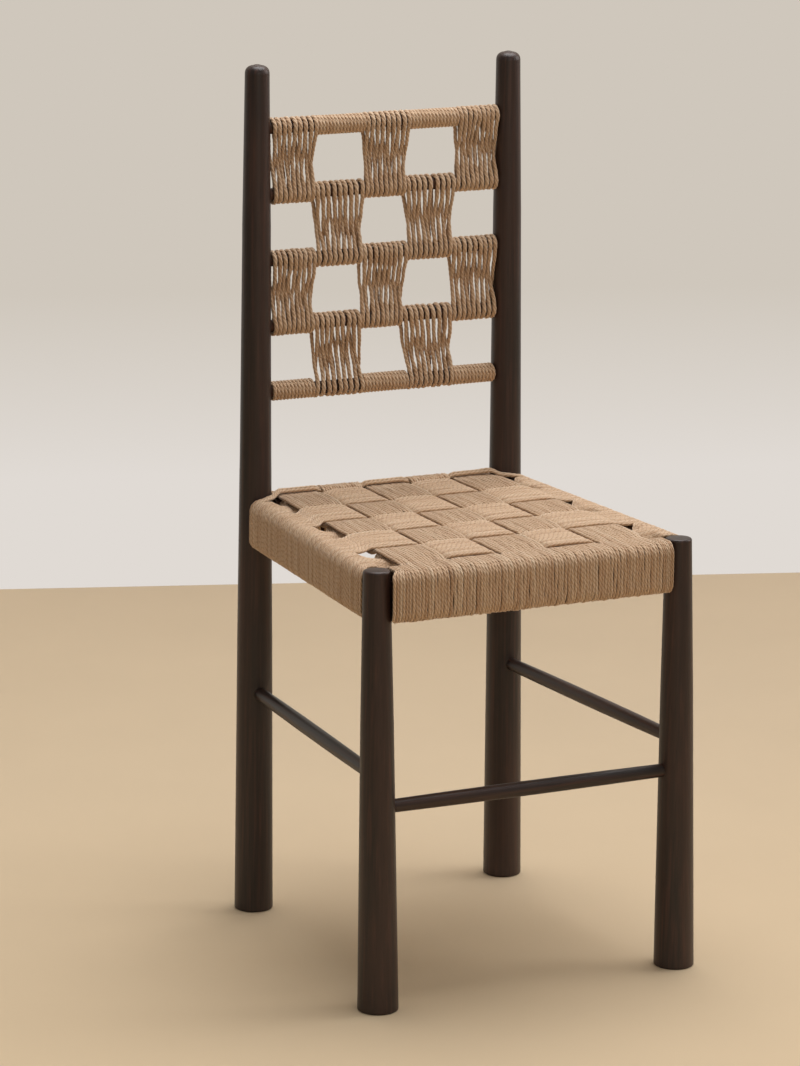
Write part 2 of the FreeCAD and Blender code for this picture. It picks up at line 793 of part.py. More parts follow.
def panel(width):
    """A figure-eight winding between two rungs, in a frame of its own, and one loop's length.

    X runs along the rungs, +Y to the chair's back and +Z up the posts, from the upper rung's
    axis.  Each strand crosses from the front of one rung to the back of the other.
    """
    run = width - 2 * panel_margin
    diameter = (run - 2 * panel_loops * strand_gap) / (2 * panel_loops + 1)
    radius = rung_diameter / 2 + cord_lift + diameter / 2
    lean = math.asin(2 * radius / rung_spacing)
    strand = rung_spacing * math.cos(lean)
    hug = radius * (math.pi + 2 * lean)
    loop = 2 * (strand + hug)
    total = panel_loops * loop + diameter
    side = radius * math.cos(lean)
    inset = radius * math.sin(lean)

    def at(distance, y, z):
        """A point, at a distance along the cord."""
        return V((run - diameter) * (distance / total - middle_share), y, z)

    def aim(y, z):
        """A direction of the cord, with its steady advance along the rungs."""
        return unit(V((run - diameter) / total, y, z))

    winding = Winding(diameter)
    gone = diameter
    tail = aim(math.sin(lean), math.cos(lean)) * diameter
    winding.straight(at(gone, side, -inset) - tail, at(gone, side, -inset))
    for _ in range(panel_loops):
        for sign, level in ((1, 0), (-1, -rung_spacing)):
            start = at(gone, side, level - sign * inset)
            crest = at(gone + hug / 2, 0, level + sign * radius)
            end = at(gone + hug, -side, level - sign * inset)
            leave = aim(math.sin(lean), -sign * math.cos(lean))
            winding.turn(start, aim(math.sin(lean), sign * math.cos(lean)), crest, aim(-1, 0))
            winding.turn(crest, aim(-1, 0), end, leave)
            gone += hug + strand
            winding.straight(end, at(gone, side, sign * inset - rung_spacing - level))
    return winding, loop


def rung_winding(width):
    """A close spiral winding on one rung, along X from the middle of its column."""
    run = width - 2 * panel_margin
    diameter = run / (winding_turns + 1) - turn_gap
    radius = rung_diameter / 2 + cord_lift + diameter / 2
    pitch = (run - diameter) / winding_turns
    winding = Winding(diameter)

    def knot(half_turns):
        a = math.pi * half_turns
        place = V(pitch * half_turns / 2 - (run - diameter) / 2, radius * math.cos(a), radius * math.sin(a))
        aim = unit(V(pitch / (2 * math.pi), -radius * math.sin(a), radius * math.cos(a)))
        return place, aim

    place, aim = knot(0)
    winding.straight(place - aim * diameter, place)
    for half_turn in range(round(2 * winding_turns)):
        winding.turn(*knot(half_turn), *knot(half_turn + 1))
    place, aim = knot(round(2 * winding_turns))
    winding.straight(place, place + aim * diameter)
    return winding, math.hypot(2 * math.pi * radius, pitch)


def back_windings(up):
    """The panels and rung windings of the back, chequered, by node name."""
    post = up["rear_post_right"]
    width = column_width(up)
    way_up = unit(post.centre(rung_height(0)) - post.centre(rung_height(1)))
    tilt = FreeCAD.Rotation(V(1, 0, 0), math.degrees(math.atan2(-way_up.y, way_up.z)))
    made = {}
    for kind, (winding, loop) in (("panel", panel(width)), ("winding", rung_winding(width))):
        made[kind] = winding.solid()
        gap = winding.least_gap(loop)
        ideal = math.pi * winding.diameter ** 2 / 4 * winding.length()
        print("%s: cord %.2f mm, %.0f mm long, least gap %.2f mm, volume %.4f of section by length"
              % (kind, winding.diameter, winding.length(), gap, made[kind].Volume / ideal))
    found = {}
    for row in range(rung_count):
        for column in range(column_count):
            chequer = (row + column) % 2 == 0
            last = row == rung_count - 1
            if not chequer and 0 < row < rung_count - 1:
                continue
            if chequer and last:
                kind, name = "winding", "rung_winding_bottom_%d" % (column + 1)
            elif chequer:
                kind, name = "panel", "back_panel_%d_%d" % (row + 1, column + 1)
            elif row == 0:
                kind, name = "winding", "rung_winding_top_%d" % (column + 1)
            else:
                continue
            z = rung_height(row)
            shape = made[kind].copy()
            middle = (column - (column_count - 1) / 2) * width
            shape.Placement = FreeCAD.Placement(V(middle, post.centre(z).y, z), tilt)
            found[name] = shape
    return found


def chair():
    """Every piece of the chair, by node name, standing on the floor about the middle."""
    up = uprights()
    rails = seat_rails(up)
    bars = {**stretchers(up), **rungs(up)}
    holes = [rail.core(fit_gap) for rail in rails.values()] + [bar.socket() for bar in bars.values()]
    pieces = {}
    for name, upright in up.items():
        body = upright.solid()
        near = [hole for hole in holes if hole.BoundBox.intersect(body.BoundBox)]
        pieces[name] = body.cut(near)
    pieces.update({name: bar.solid() for name, bar in bars.items()})

    places = tack_places(rails)
    pins = [tack_hole(*place) for row in places.values() for place in row]
    bands = {**warp_bands(), **weft_bands(rails, up), **front_end_wraps(rails["seat_rail_front"])}
    timber = {name: rail.solid() for name, rail in rails.items()}
    for name, shape in {**timber, **bands}.items():
        near = [pin for pin in pins if pin.BoundBox.intersect(shape.BoundBox)]
        pieces[name] = shape.cut(near) if near else shape
    for name, row in places.items():
        tacks = [tack(*place) for place in row]
        pieces[name.replace("seat_rail", "seat_tacks")] = Part.makeCompound(tacks)
    pieces.update(back_windings(up))
    return pieces


def centred(pieces):
    """The pieces, moved so that the origin is below the middle of the chair's box."""
    box = Part.makeCompound(list(pieces.values())).optimalBoundingBox(False)
    shift = V(-box.Center.x, -box.Center.y, 0)
    return {name: shape.translated(shift) for name, shape in pieces.items()}


os.makedirs("parts", exist_ok=True)
for node, solid in centred(chair()).items():
    solid.exportStep("parts/%s.step" % node)
    print("%-24s %3d solid(s) %12.1f mm3 valid %s" % (node, len(solid.Solids), solid.Volume, solid.isValid()))
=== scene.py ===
"""Looks of an armless side chair with a woven cord seat and a wound cord back.

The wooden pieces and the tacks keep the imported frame's shapes and only get a finish.  Every
piece of cord is laid here as three-ply twisted cord: sixteen lengths side by side for each
woven band of the seat, and one unbroken length for each winding of the back.
"""

import logging
import math
import random
from dataclasses import dataclass, field
from enum import Enum

import bpy
import numpy as np
from mathutils import Matrix, Vector


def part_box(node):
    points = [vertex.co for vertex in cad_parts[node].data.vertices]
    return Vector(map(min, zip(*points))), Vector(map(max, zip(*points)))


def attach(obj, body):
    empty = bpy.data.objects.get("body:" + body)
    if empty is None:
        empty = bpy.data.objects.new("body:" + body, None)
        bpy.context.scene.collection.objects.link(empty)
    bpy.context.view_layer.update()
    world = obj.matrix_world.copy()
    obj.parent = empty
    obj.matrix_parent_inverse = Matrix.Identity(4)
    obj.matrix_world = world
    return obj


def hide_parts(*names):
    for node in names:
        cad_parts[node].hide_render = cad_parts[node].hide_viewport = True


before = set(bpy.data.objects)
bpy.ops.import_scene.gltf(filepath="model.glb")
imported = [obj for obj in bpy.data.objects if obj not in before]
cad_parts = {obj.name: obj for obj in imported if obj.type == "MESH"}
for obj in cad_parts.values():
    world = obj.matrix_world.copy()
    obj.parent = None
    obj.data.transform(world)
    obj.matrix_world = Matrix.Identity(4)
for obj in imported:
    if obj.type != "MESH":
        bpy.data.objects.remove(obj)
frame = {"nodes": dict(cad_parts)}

logging.basicConfig(level=logging.INFO, format="%(name)s: %(message)s")
log = logging.getLogger("chair")

Array = np.ndarray
Material = bpy.types.Material
Socket = bpy.types.NodeSocket
Pair = tuple[float, float]
Triple = tuple[float, float, float]
Colour = Triple
CORD_MAP = "along_and_around"
MIX_INPUTS = (0, 6, 7)
MIX_OUTPUT = 2
WAVE_REACH = (0.3, 1.0)
WAVE_STRETCH = (0.8, 1.25)


def colour(red: int, green: int, blue: int) -> Colour:
    """A scene colour from its red, green and blue on a screen.

    Args:
        red: Red, 0 to 255.
        green: Green, 0 to 255.
        blue: Blue, 0 to 255.

    Returns:
        The same colour as the renderer's linear shares.
    """
    shares = (value / 255 for value in (red, green, blue))
    return tuple(s / 12.92 if s <= 0.04045 else ((s + 0.055) / 1.055) ** 2.4 for s in shares)


def smooth(share: Array) -> Array:
    """Ease shares between nought and one, held flat outside them."""
    held = np.clip(share, 0, 1)
    return held * held * (3 - 2 * held)


@dataclass(frozen=True)
class Ease:
    """A smooth rise from nought to one: where it starts and how far it reaches."""

    start: float
    reach: float

    def at(self, place: Array) -> Array:
        """How far it has risen at each place."""
        return smooth((place - self.start) / self.reach)


@dataclass(frozen=True)
class Shading:
    """Shades that multiply a colour: the first up to one place, the last from another."""

    first: Colour | float
    start: float
    end: float
    last: Colour | float = 1.0
    share: float = 1.0


class Axis(Enum):
    """An axis of the object, as its index."""

    X = 0
    Y = 1
    Z = 2


class NodeBoard:
    """A material's node tree while it is laid out."""

    def __init__(self, name: str) -> None:
        """Start an empty material.

        Args:
            name: Name of the material.
        """
        self.material = bpy.data.materials.new(name)
        self.material.use_nodes = True
        self.tree = self.material.node_tree
        self.tree.nodes.clear()

    def node(self, kind: str, settings: dict | None = None, **inputs: object) -> bpy.types.Node:
        """Add a node.

        Args:
            kind: Node type, without its ShaderNode prefix.
            settings: Properties of the node.
            **inputs: Values or sockets for its inputs, with _ for a space.

        Returns:
            The node.
        """
        made = self.tree.nodes.new("ShaderNode" + kind)
        for key, value in (settings or {}).items():
            setattr(made, key, value)
        for key, value in inputs.items():
            self.feed(made.inputs[key.replace("_", " ")], value)
        return made

    def feed(self, socket: Socket, value: object) -> None:
        """Set an input to a value, or link it to an output.

        Args:
            socket: The input.
            value: A number, a colour or an output.
        """
        if isinstance(value, Socket):
            self.tree.links.new(value, socket)
        elif isinstance(value, tuple) and len(value) == 3 and socket.type == "RGBA":
            socket.default_value = (*value, 1)
        else:
            socket.default_value = value

    def place(self) -> Socket:
        """Object coordinates."""
        return self.node("TexCoord").outputs["Object"]

    def part(self, vector: Socket, axis: Axis) -> Socket:
        """One part of a vector."""
        return self.node("SeparateXYZ", Vector=vector).outputs[axis.value]

    def sum(self, operation: str, *values: object) -> Socket:
        """Result of a Math node.

        Args:
            operation: The node's operation.
            *values: Its one, two or three inputs.

        Returns:
            The output.
        """
        made = self.node("Math", {"operation": operation})
        for socket, value in zip(made.inputs, values):
            self.feed(socket, value)
        return made.outputs[0]

    def scaled(self, vector: Socket, scale: tuple) -> Socket:
        """A vector with each of its parts scaled."""
        return self.node("Mapping", Vector=vector, Scale=scale).outputs[0]

    def noise(self, vector: Socket, scale: float = 1.0, detail: float = 2.0) -> Socket:
        """Noise from nought to one."""
        return self.node("TexNoise", Vector=vector, Scale=scale, Detail=detail).outputs[0]

    def ramp(self, factor: Socket, *stops: tuple) -> Socket:
        """A colour ramp.

        Args:
            factor: What drives it.
            *stops: Its stops, each a place and a colour or a grey.

        Returns:
            The colour output.
        """
        made = self.node("ValToRGB", Fac=factor)
        elements = made.color_ramp.elements
        while len(elements) < len(stops):
            elements.new(0.5)
        for element, (place, shade) in zip(elements, stops):
            element.position = place
            element.color = (*(shade if isinstance(shade, tuple) else (shade,) * 3), 1)
        return made.outputs[0]

    def mix(self, blend: str, factor: object, under: object, over: object) -> Socket:
        """Mix two colours.

        Args:
            blend: Blend type.
            factor: Share of the blend.
            under: First colour.
            over: Second colour.

        Returns:
            The mixed colour.
        """
        made = self.node("Mix", {"data_type": "RGBA", "blend_type": blend})
        for index, value in zip(MIX_INPUTS, (factor, under, over)):
            self.feed(made.inputs[index], value)
        return made.outputs[MIX_OUTPUT]

    def shaded(self, tone: object, factor: Socket, shading: Shading) -> Socket:
        """Multiply a colour by the shade that a factor picks.

        Args:
            tone: The colour.
            factor: What picks the shade.
            shading: The shades.

        Returns:
            The shaded colour.
        """
        shade = self.ramp(factor, (shading.start, shading.first), (shading.end, shading.last))
        return self.mix("MULTIPLY", shading.share, tone, shade)

    def bump(self, height: Socket, distance: float, strength: float,
             normal: Socket | None = None) -> Socket:
        """A bumped normal.

        Args:
            height: Height, as a share of the distance.
            distance: Full height in metres.
            strength: Share of the bump that shows.
            normal: A normal to bump further.

        Returns:
            The normal output.
        """
        made = self.node("Bump", Height=height, Distance=distance, Strength=strength)
        if normal is not None:
            self.feed(made.inputs["Normal"], normal)
        return made.outputs[0]

    def finish(self, shader: bpy.types.Node) -> Material:
        """Link the shader to the output and return the material."""
        output = self.node("OutputMaterial")
        self.tree.links.new(shader.outputs[0], output.inputs["Surface"])
        return self.material


@dataclass(frozen=True)
class StainedWood:
    """Open-grained wood, stained nearly black-brown under a satin lacquer."""

    label: str = "stained_wood"
    deep: Colour = colour(32, 23, 19)
    body: Colour = colour(44, 31, 25)
    warm: Colour = colour(70, 44, 34)
    pore: Colour = (0.45, 0.42, 0.40)
    tone_stops: tuple[float, ...] = (0.30, 0.52, 0.74)
    warm_stops: tuple[float, ...] = (0.42, 0.68)
    pore_stops: tuple[float, ...] = (0.60, 0.70)
    warm_share: float = 0.45
    pore_share: float = 0.55
    streak_scale: Pair = (330.0, 7.0)
    pore_scale: Pair = (1100.0, 26.0)
    patch_scale: Pair = (34.0, 3.2)
    least_roughness: float = 0.32
    roughness_range: float = 0.16
    streak_height: float = 0.35
    pore_depth: float = 0.00012
    relief: float = 0.55
    refraction: float = 1.48

    def material(self, grain: Axis) -> Material:
        """The finish of a piece.

        Args:
            grain: The axis that the grain runs along.

        Returns:
            The material.
        """
        board = NodeBoard(self.label + "_grain_" + grain.name.lower())
        place = board.place()
        vectors = []
        for across, along in (self.streak_scale, self.pore_scale, self.patch_scale):
            scale = tuple(along if axis is grain else across for axis in Axis)
            vectors.append(board.scaled(place, scale))
        streaks = board.noise(vectors[0], detail=3.0)
        pores, patches = board.noise(vectors[1]), board.noise(vectors[2])
        tone = board.ramp(streaks, *zip(self.tone_stops, (self.deep, self.body, self.warm)))
        warmth = board.ramp(patches, *zip(self.warm_stops, (0.0, 1.0)))
        tone = board.mix("MIX", board.sum("MULTIPLY", warmth, self.warm_share), tone, self.warm)
        pore_mask = board.ramp(pores, *zip(self.pore_stops, (0.0, 1.0)))
        pored = board.sum("MULTIPLY", pore_mask, self.pore_share)
        gloss = board.sum("MULTIPLY_ADD", streaks, self.roughness_range, self.least_roughness)
        height = board.sum("MULTIPLY", streaks, self.streak_height)
        height = board.sum("SUBTRACT", height, pore_mask)
        shader = board.node(
            "BsdfPrincipled",
            Base_Color=board.mix("MULTIPLY", pored, tone, self.pore),
            Roughness=gloss,
            Normal=board.bump(height, self.pore_depth, self.relief),
            IOR=self.refraction,
        )
        return board.finish(shader)


@dataclass(frozen=True)
class TackSteel:
    """Dull blued steel of upholstery tacks."""

    dark: Colour = colour(84, 80, 80)
    shade: Colour = colour(120, 118, 120)
    stops: tuple[float, ...] = (0.35, 0.62)
    speck_scale: float = 900.0
    speck_depth: float = 0.00005
    relief: float = 0.4
    least_roughness: float = 0.28
    roughness_range: float = 0.25
    metallic: float = 0.9

    def material(self) -> Material:
        """The finish of the tacks."""
        board = NodeBoard("tack_steel")
        specks = board.noise(board.place(), self.speck_scale, 3.0)
        gloss = board.sum("MULTIPLY_ADD", specks, self.roughness_range, self.least_roughness)
        shader = board.node(
            "BsdfPrincipled",
            Base_Color=board.ramp(specks, *zip(self.stops, (self.dark, self.shade))),
            Roughness=gloss,
            Normal=board.bump(specks, self.speck_depth, self.relief),
            Metallic=self.metallic,
        )
        return board.finish(shader)


@dataclass(frozen=True)
class PaperCord:
    """Natural twisted paper cord, read along and around each length by its UV map.

    The map's U is metres along the cord and its V is turns around it, with a whole number
    added for each length, so that no two lengths have the same fibres.
    """

    pale: Colour = colour(217, 193, 164)
    body: Colour = colour(201, 169, 136)
    tan: Colour = colour(179, 143, 109)
    tone_stops: tuple[float, ...] = (0.22, 0.5, 0.8)
    tone_shares: Pair = (0.72, 0.28)
    fibre_shade: Shading = Shading((0.62, 0.56, 0.48), 0.28, 0.62, share=0.42)
    fleck_shade: Shading = Shading((0.55, 0.47, 0.38), 0.24, 0.40, share=0.38)
    # Painted shade: the valleys between the plies are darkened in colour, where shade falls in the
    # creases.
    painted_crease_shade: Shading = Shading((0.40, 0.27, 0.17), 0.0, 0.36)
    tone_scale: Triple = (9.0, 0.0, 0.0)
    fibre_scale: Triple = (170.0, 26.0, 1.0)
    fleck_scale: Triple = (420.0, 11.0, 1.0)
    least_roughness: float = 0.59
    roughness_range: float = 0.14
    specular: float = 0.4
    sheen: float = 0.42
    sheen_roughness: float = 0.40
    plies: int = 3
    ply_depth: float = 0.00060
    ply_relief: float = 0.45
    fibre_depth: float = 0.00018
    fibre_relief: float = 0.5

    def material(self) -> Material:
        """The finish of every cord."""
        board = NodeBoard("twisted_paper_cord")
        place = board.node("UVMap", {"uv_map": CORD_MAP}).outputs[0]
        turns = board.part(place, Axis.Y)
        number = board.sum("FLOOR", turns)
        own = board.node("TexWhiteNoise", {"noise_dimensions": "1D"}, W=number).outputs[0]
        length_tone = board.noise(board.scaled(place, self.tone_scale))
        fibres = board.noise(board.scaled(place, self.fibre_scale), detail=3.0)
        flecks = board.noise(board.scaled(place, self.fleck_scale))
        ply = board.sum("SINE", board.sum("MULTIPLY", turns, self.plies * math.pi))
        ply = board.sum("ABSOLUTE", ply)
        along, apart = self.tone_shares
        shade = board.sum("MULTIPLY_ADD", length_tone, along, board.sum("MULTIPLY", own, apart))
        tone = board.ramp(shade, *zip(self.tone_stops, (self.tan, self.body, self.pale)))
        tone = board.shaded(tone, fibres, self.fibre_shade)
        tone = board.shaded(tone, flecks, self.fleck_shade)
        normal = board.bump(ply, self.ply_depth, self.ply_relief)
        gloss = board.sum("MULTIPLY_ADD", fibres, self.roughness_range, self.least_roughness)
        shader = board.node(
            "BsdfPrincipled",
            # The base colour carries painted shade in the creases between the plies.
            Base_Color=board.shaded(tone, ply, self.painted_crease_shade),
            Roughness=gloss,
            Normal=board.bump(fibres, self.fibre_depth, self.fibre_relief, normal),
            Specular_IOR_Level=self.specular,
            Sheen_Weight=self.sheen,
            Sheen_Roughness=self.sheen_roughness,
        )
        return board.finish(shader)


@dataclass(frozen=True)
class Wall:
    """A matt wall that the camera sees at its own colour, and sees through from behind."""

    # Painted light: the low colour, near the floor, is lighter than the high one.
    low: Colour = colour(224, 218, 212)
    high: Colour = colour(207, 199, 188)
    stops: tuple[float, ...] = (0.22, 0.58)
    height_scale: float = 1.4

    def material(self) -> Material:
        """The wall's colour, with painted light that makes it a little brighter towards the floor.
        """
        board = NodeBoard("warm_grey_wall")
        height = board.sum("MULTIPLY", board.part(board.place(), Axis.Z), self.height_scale)
        # Painted light: the colour grows brighter towards the floor.
        tone = board.ramp(height, *zip(self.stops, (self.low, self.high)))
        seen = board.node("LightPath")
        direct = board.sum("MAXIMUM", seen.outputs["Is Camera Ray"], seen.outputs["Is Glossy Ray"])
        direct = board.sum("MAXIMUM", direct, seen.outputs["Is Transmission Ray"])
        from_behind = board.node("NewGeometry").outputs["Backfacing"]
        from_behind = board.sum("MULTIPLY", from_behind, seen.outputs["Is Camera Ray"])
        shader = board.node("BsdfDiffuse", Color=tone)
        shown = board.node("Emission", Color=tone, Strength=1.0)
        for share, over in ((direct, shown), (from_behind, board.node("BsdfTransparent"))):
            mixed = board.node("MixShader", Fac=share)
            board.feed(mixed.inputs[1], shader.outputs[0])
            board.feed(mixed.inputs[2], over.outputs[0])
            shader = mixed
        return board.finish(shader)


@dataclass(frozen=True)
class Floor:
    """A plain pale floor that keeps the chair's shadow."""

    shade: Colour = colour(217, 195, 164)
    cloud: Shading = Shading(0.9, 0.3, 0.7, share=0.25)
    # Painted shade: these two ramps darken the floor far away and on the right.
    depth: Shading = Shading((0.89, 0.90, 0.90), 0.15, 0.85, (1.0, 0.99, 0.95))
    aside: Shading = Shading(1.0, 0.2, 0.85, (0.83, 0.83, 0.85))
    cloud_scale: float = 5.0
    ramp_middle: float = 0.5
    ramp_per_metre: float = 0.5
    roughness: float = 0.95
    specular: float = 0.1

    def material(self) -> Material:
        """The floor's colour, with painted shade that makes it a little darker far away and on the
        right.
        """
        board = NodeBoard("pale_floor")
        place = board.place()
        clouds = board.noise(place, self.cloud_scale, 3.0)
        nearness, rightness = (
            board.sum("MULTIPLY_ADD", board.part(place, axis), way * self.ramp_per_metre,
                      self.ramp_middle)
            for axis, way in ((Axis.Y, -1), (Axis.X, 1)))
        tone = board.shaded(self.shade, clouds, self.cloud)
        # Painted shade: darker far away, then darker on the right.
        tone = board.shaded(tone, nearness, self.depth)
        shader = board.node(
            "BsdfPrincipled",
            Base_Color=board.shaded(tone, rightness, self.aside),
            Roughness=self.roughness,
            Specular_IOR_Level=self.specular,
        )
        return board.finish(shader)


@dataclass(frozen=True)
class Wobble:
    """Slow unevenness along a length of cord, the same on every run."""

    waves: tuple[Triple, ...]

    @classmethod
    def drawn(cls, luck: random.Random, size: float, lengths: tuple[float, ...]) -> "Wobble":
        """Draw a wobble.

        Args:
            luck: Seeded source of chance.
            size: Greatest reach of each wave, in metres.
            lengths: Wave lengths, in metres.

        Returns:
            The wobble.
        """
        return cls(tuple(
            (luck.uniform(*WAVE_REACH) * size, wave * luck.uniform(*WAVE_STRETCH),
             luck.uniform(0, math.tau))
            for wave in lengths))

    def at(self, along: Array) -> Array:
        """How far the cord strays at each distance along it."""
        return sum(
            size * np.sin(math.tau * along / wave + start) for size, wave, start in self.waves)


@dataclass
class TwistedCord:
    """Three-ply cord as a mesh tube, whose section turns as it goes along."""

    diameter: float
    lay: float = 0.0165
    ring_step: float = 0.0016
    profile: tuple[float, ...] = (0.82, 0.98, 0.98)
    plies: int = 3
    fattening: float = 0.35
    cap: float = 0.2
    waves: tuple[float, ...] = (0.11, 0.047, 0.021)
    outward: float = 0.6

    def rings(self, line: Array, width: Array) -> tuple[Array, Array]:
        """Space a line evenly at the step between rings.

        Args:
            line: Points of the cord's middle.
            width: Its width at each.

        Returns:
            The new points, and the width at each.
        """
        gaps = np.linalg.norm(np.diff(line, axis=0), axis=1)
        along = np.concatenate(([0], np.cumsum(gaps)))
        count = max(3, round(along[-1] / self.ring_step) + 1)
        even = np.linspace(0, along[-1], count)
        points = np.stack([np.interp(even, along, line[:, k]) for k in range(3)], axis=1)
        return points, np.interp(even, along, width)


class CordPiece:
    """Lengths of twisted cord that make one piece."""

    def __init__(self, name: str, cord: TwistedCord, seed: int) -> None:
        """Start an empty piece.

        Args:
            name: Name of the piece.
            cord: The cord it is made of.
            seed: Seed of its unevenness.
        """
        self.name = name
        self.cord = cord
        self.luck = random.Random(seed)
        self.points: list[Array] = []
        self.corners: list[Array] = []
        self.maps: list[Array] = []
        self.sizes: list[Array] = []
        self.count = 0
        self.lengths = 0

    def lay(self, line: Array, across: Axis, width: Array | None = None,
            stray: float = 0.0) -> None:
        """Lay one length of cord.

        Args:
            line: Points of its middle, in metres.
            across: Direction that its width is measured along.
            width: Its width at each of the line's points, or None for the cord's own.
            stray: How far it strays from the line, in metres.
        """
        cord = self.cord
        wide = np.full(len(line), cord.diameter) if width is None else width
        middle, wide = cord.rings(line, wide)
        rings = len(middle)
        thick = cord.diameter * (1 + cord.fattening * (1 - wide / cord.diameter))
        aim = np.gradient(middle, axis=0)
        aim /= np.linalg.norm(aim, axis=1)[:, None]
        sideways = np.eye(3)[across.value]
        side = sideways - aim * (aim @ sideways)[:, None]
        side /= np.linalg.norm(side, axis=1)[:, None]
        out = np.cross(aim, side)
        along = cord.ring_step * np.arange(rings)
        for way, reach in ((side, stray), (out, stray * cord.outward)) if stray else ():
            wobble = Wobble.drawn(self.luck, reach, cord.waves)
            middle = middle + way * wobble.at(along)[:, None]
        shape = np.tile(cord.profile, cord.plies)
        facets = len(shape)
        around = np.arange(facets) / facets
        start = self.luck.uniform(0, 1)
        angle = math.tau * (around[None, :] - along[:, None] / cord.lay + start)
        reach = side[:, None, :] * (np.cos(angle) * shape * wide[:, None] / 2)[:, :, None]
        rise = out[:, None, :] * (np.sin(angle) * shape * thick[:, None] / 2)[:, :, None]
        tube = (middle[:, None, :] + reach + rise).reshape(-1, 3)
        cap = cord.diameter * cord.cap
        ends = np.stack([middle[0] - aim[0] * cap, middle[-1] + aim[-1] * cap])
        self.points.append(np.concatenate([tube, ends]))
        self.skin(rings, facets)
        self.map_length(along, facets)
        self.count += rings * facets + 2
        self.lengths += 1

    def skin(self, rings: int, facets: int) -> None:
        """Join a length's rings with faces and close its ends.

        Args:
            rings: How many rings it has.
            facets: How many facets go round it.
        """
        facet = np.arange(facets)
        following = (facet + 1) % facets
        low = self.count + np.arange(rings - 1)[:, None] * facets
        high = low + facets
        quads = np.stack([low + facet, low + following, high + following, high + facet], axis=2)
        first = self.count + rings * facets
        last_ring = first - facets
        tip = np.full(facets, first)
        near = np.stack([tip, self.count + following, self.count + facet], axis=1)
        far = np.stack([tip + 1, last_ring + facet, last_ring + following], axis=1)
        self.corners += [quads.reshape(-1), near.reshape(-1), far.reshape(-1)]
        self.sizes += [np.full((rings - 1) * facets, 4), np.full(2 * facets, 3)]

    def map_length(self, along: Array, facets: int) -> None:
        """Map a length's faces by the metres along it and the turns around it.

        Args:
            along: Distance of each ring along the cord.
            facets: How many facets go round it.
        """
        offset = self.luck.uniform(0, 20)
        blank = np.zeros((len(along) - 1, facets))
        u0, u1 = (offset + part[:, None] + blank for part in (along[:-1], along[1:]))
        v0 = self.lengths + np.arange(facets) / facets + blank
        v1 = v0 + 1 / facets
        corners = ((u0, v0), (u0, v1), (u1, v1), (u1, v0))
        flat = np.stack([np.stack(corner, 2) for corner in corners], axis=2)
        caps = np.tile(np.array([offset, self.lengths + 0.5 / facets]), (6 * facets, 1))
        self.maps += [flat.reshape(-1, 2), caps]

    def build(self, finish: Material, node: str) -> None:
        """Make the piece, which stands for its node and rides with the chair.

        Args:
            finish: Its material.
            node: The frame's node that it stands for.
        """
        points = np.concatenate(self.points)
        corners = np.concatenate(self.corners)
        sizes = np.concatenate(self.sizes)
        mesh = bpy.data.meshes.new(self.name)
        mesh.vertices.add(len(points))
        mesh.vertices.foreach_set("co", points.astype(np.float32).ravel())
        mesh.loops.add(len(corners))
        mesh.loops.foreach_set("vertex_index", corners.astype(np.int32))
        mesh.polygons.add(len(sizes))
        starts = np.concatenate(([0], np.cumsum(sizes)[:-1])).astype(np.int32)
        mesh.polygons.foreach_set("loop_start", starts)
        mesh.update(calc_edges=True)
        layer = mesh.uv_layers.new(name=CORD_MAP)
        layer.data.foreach_set("uv", np.concatenate(self.maps).astype(np.float32).ravel())
        mesh.polygons.foreach_set("use_smooth", np.ones(len(sizes), bool))
        mesh.materials.append(finish)
        mesh.validate()
        piece = bpy.data.objects.new(self.name, mesh)
        bpy.context.scene.collection.objects.link(piece)
        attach(piece, "root")
        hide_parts(node)
        log.info("%s for %s, %d triangles", piece.name, node, (sizes - 2).sum())


@dataclass
class RailEdge:
    """Section of a seat rail that cords go round, across the rail and up."""

    outer: float
    inner: float
    bottom: float
    top: float
    corner: float
    steps: int = 9

    def turn_round(self, offset: float, tail: float) -> Array:
        """Path of a cord from the inner face, round below and over the outer face.

        Args:
            offset: From the wood to the cord's middle.
            tail: How far above the rail's lower face the cord starts.

        Returns:
            Points across the rail and up, which end where the top becomes flat.
        """
        way = 1 if self.inner > self.outer else -1
        low, high = self.bottom + self.corner, self.top - self.corner
        near, far = self.inner - way * self.corner, self.outer + way * self.corner
        reach = self.corner + offset
        points = [(self.inner + way * offset, self.bottom + tail)]
        for index, (s, z) in enumerate(((near, low), (far, low), (far, high))):
            for step in range(self.steps + 1):
                angle = -math.pi / 2 * (index + step / self.steps)
                points.append((s + way * reach * math.cos(angle), z + reach * math.sin(angle)))
        return np.array(points)


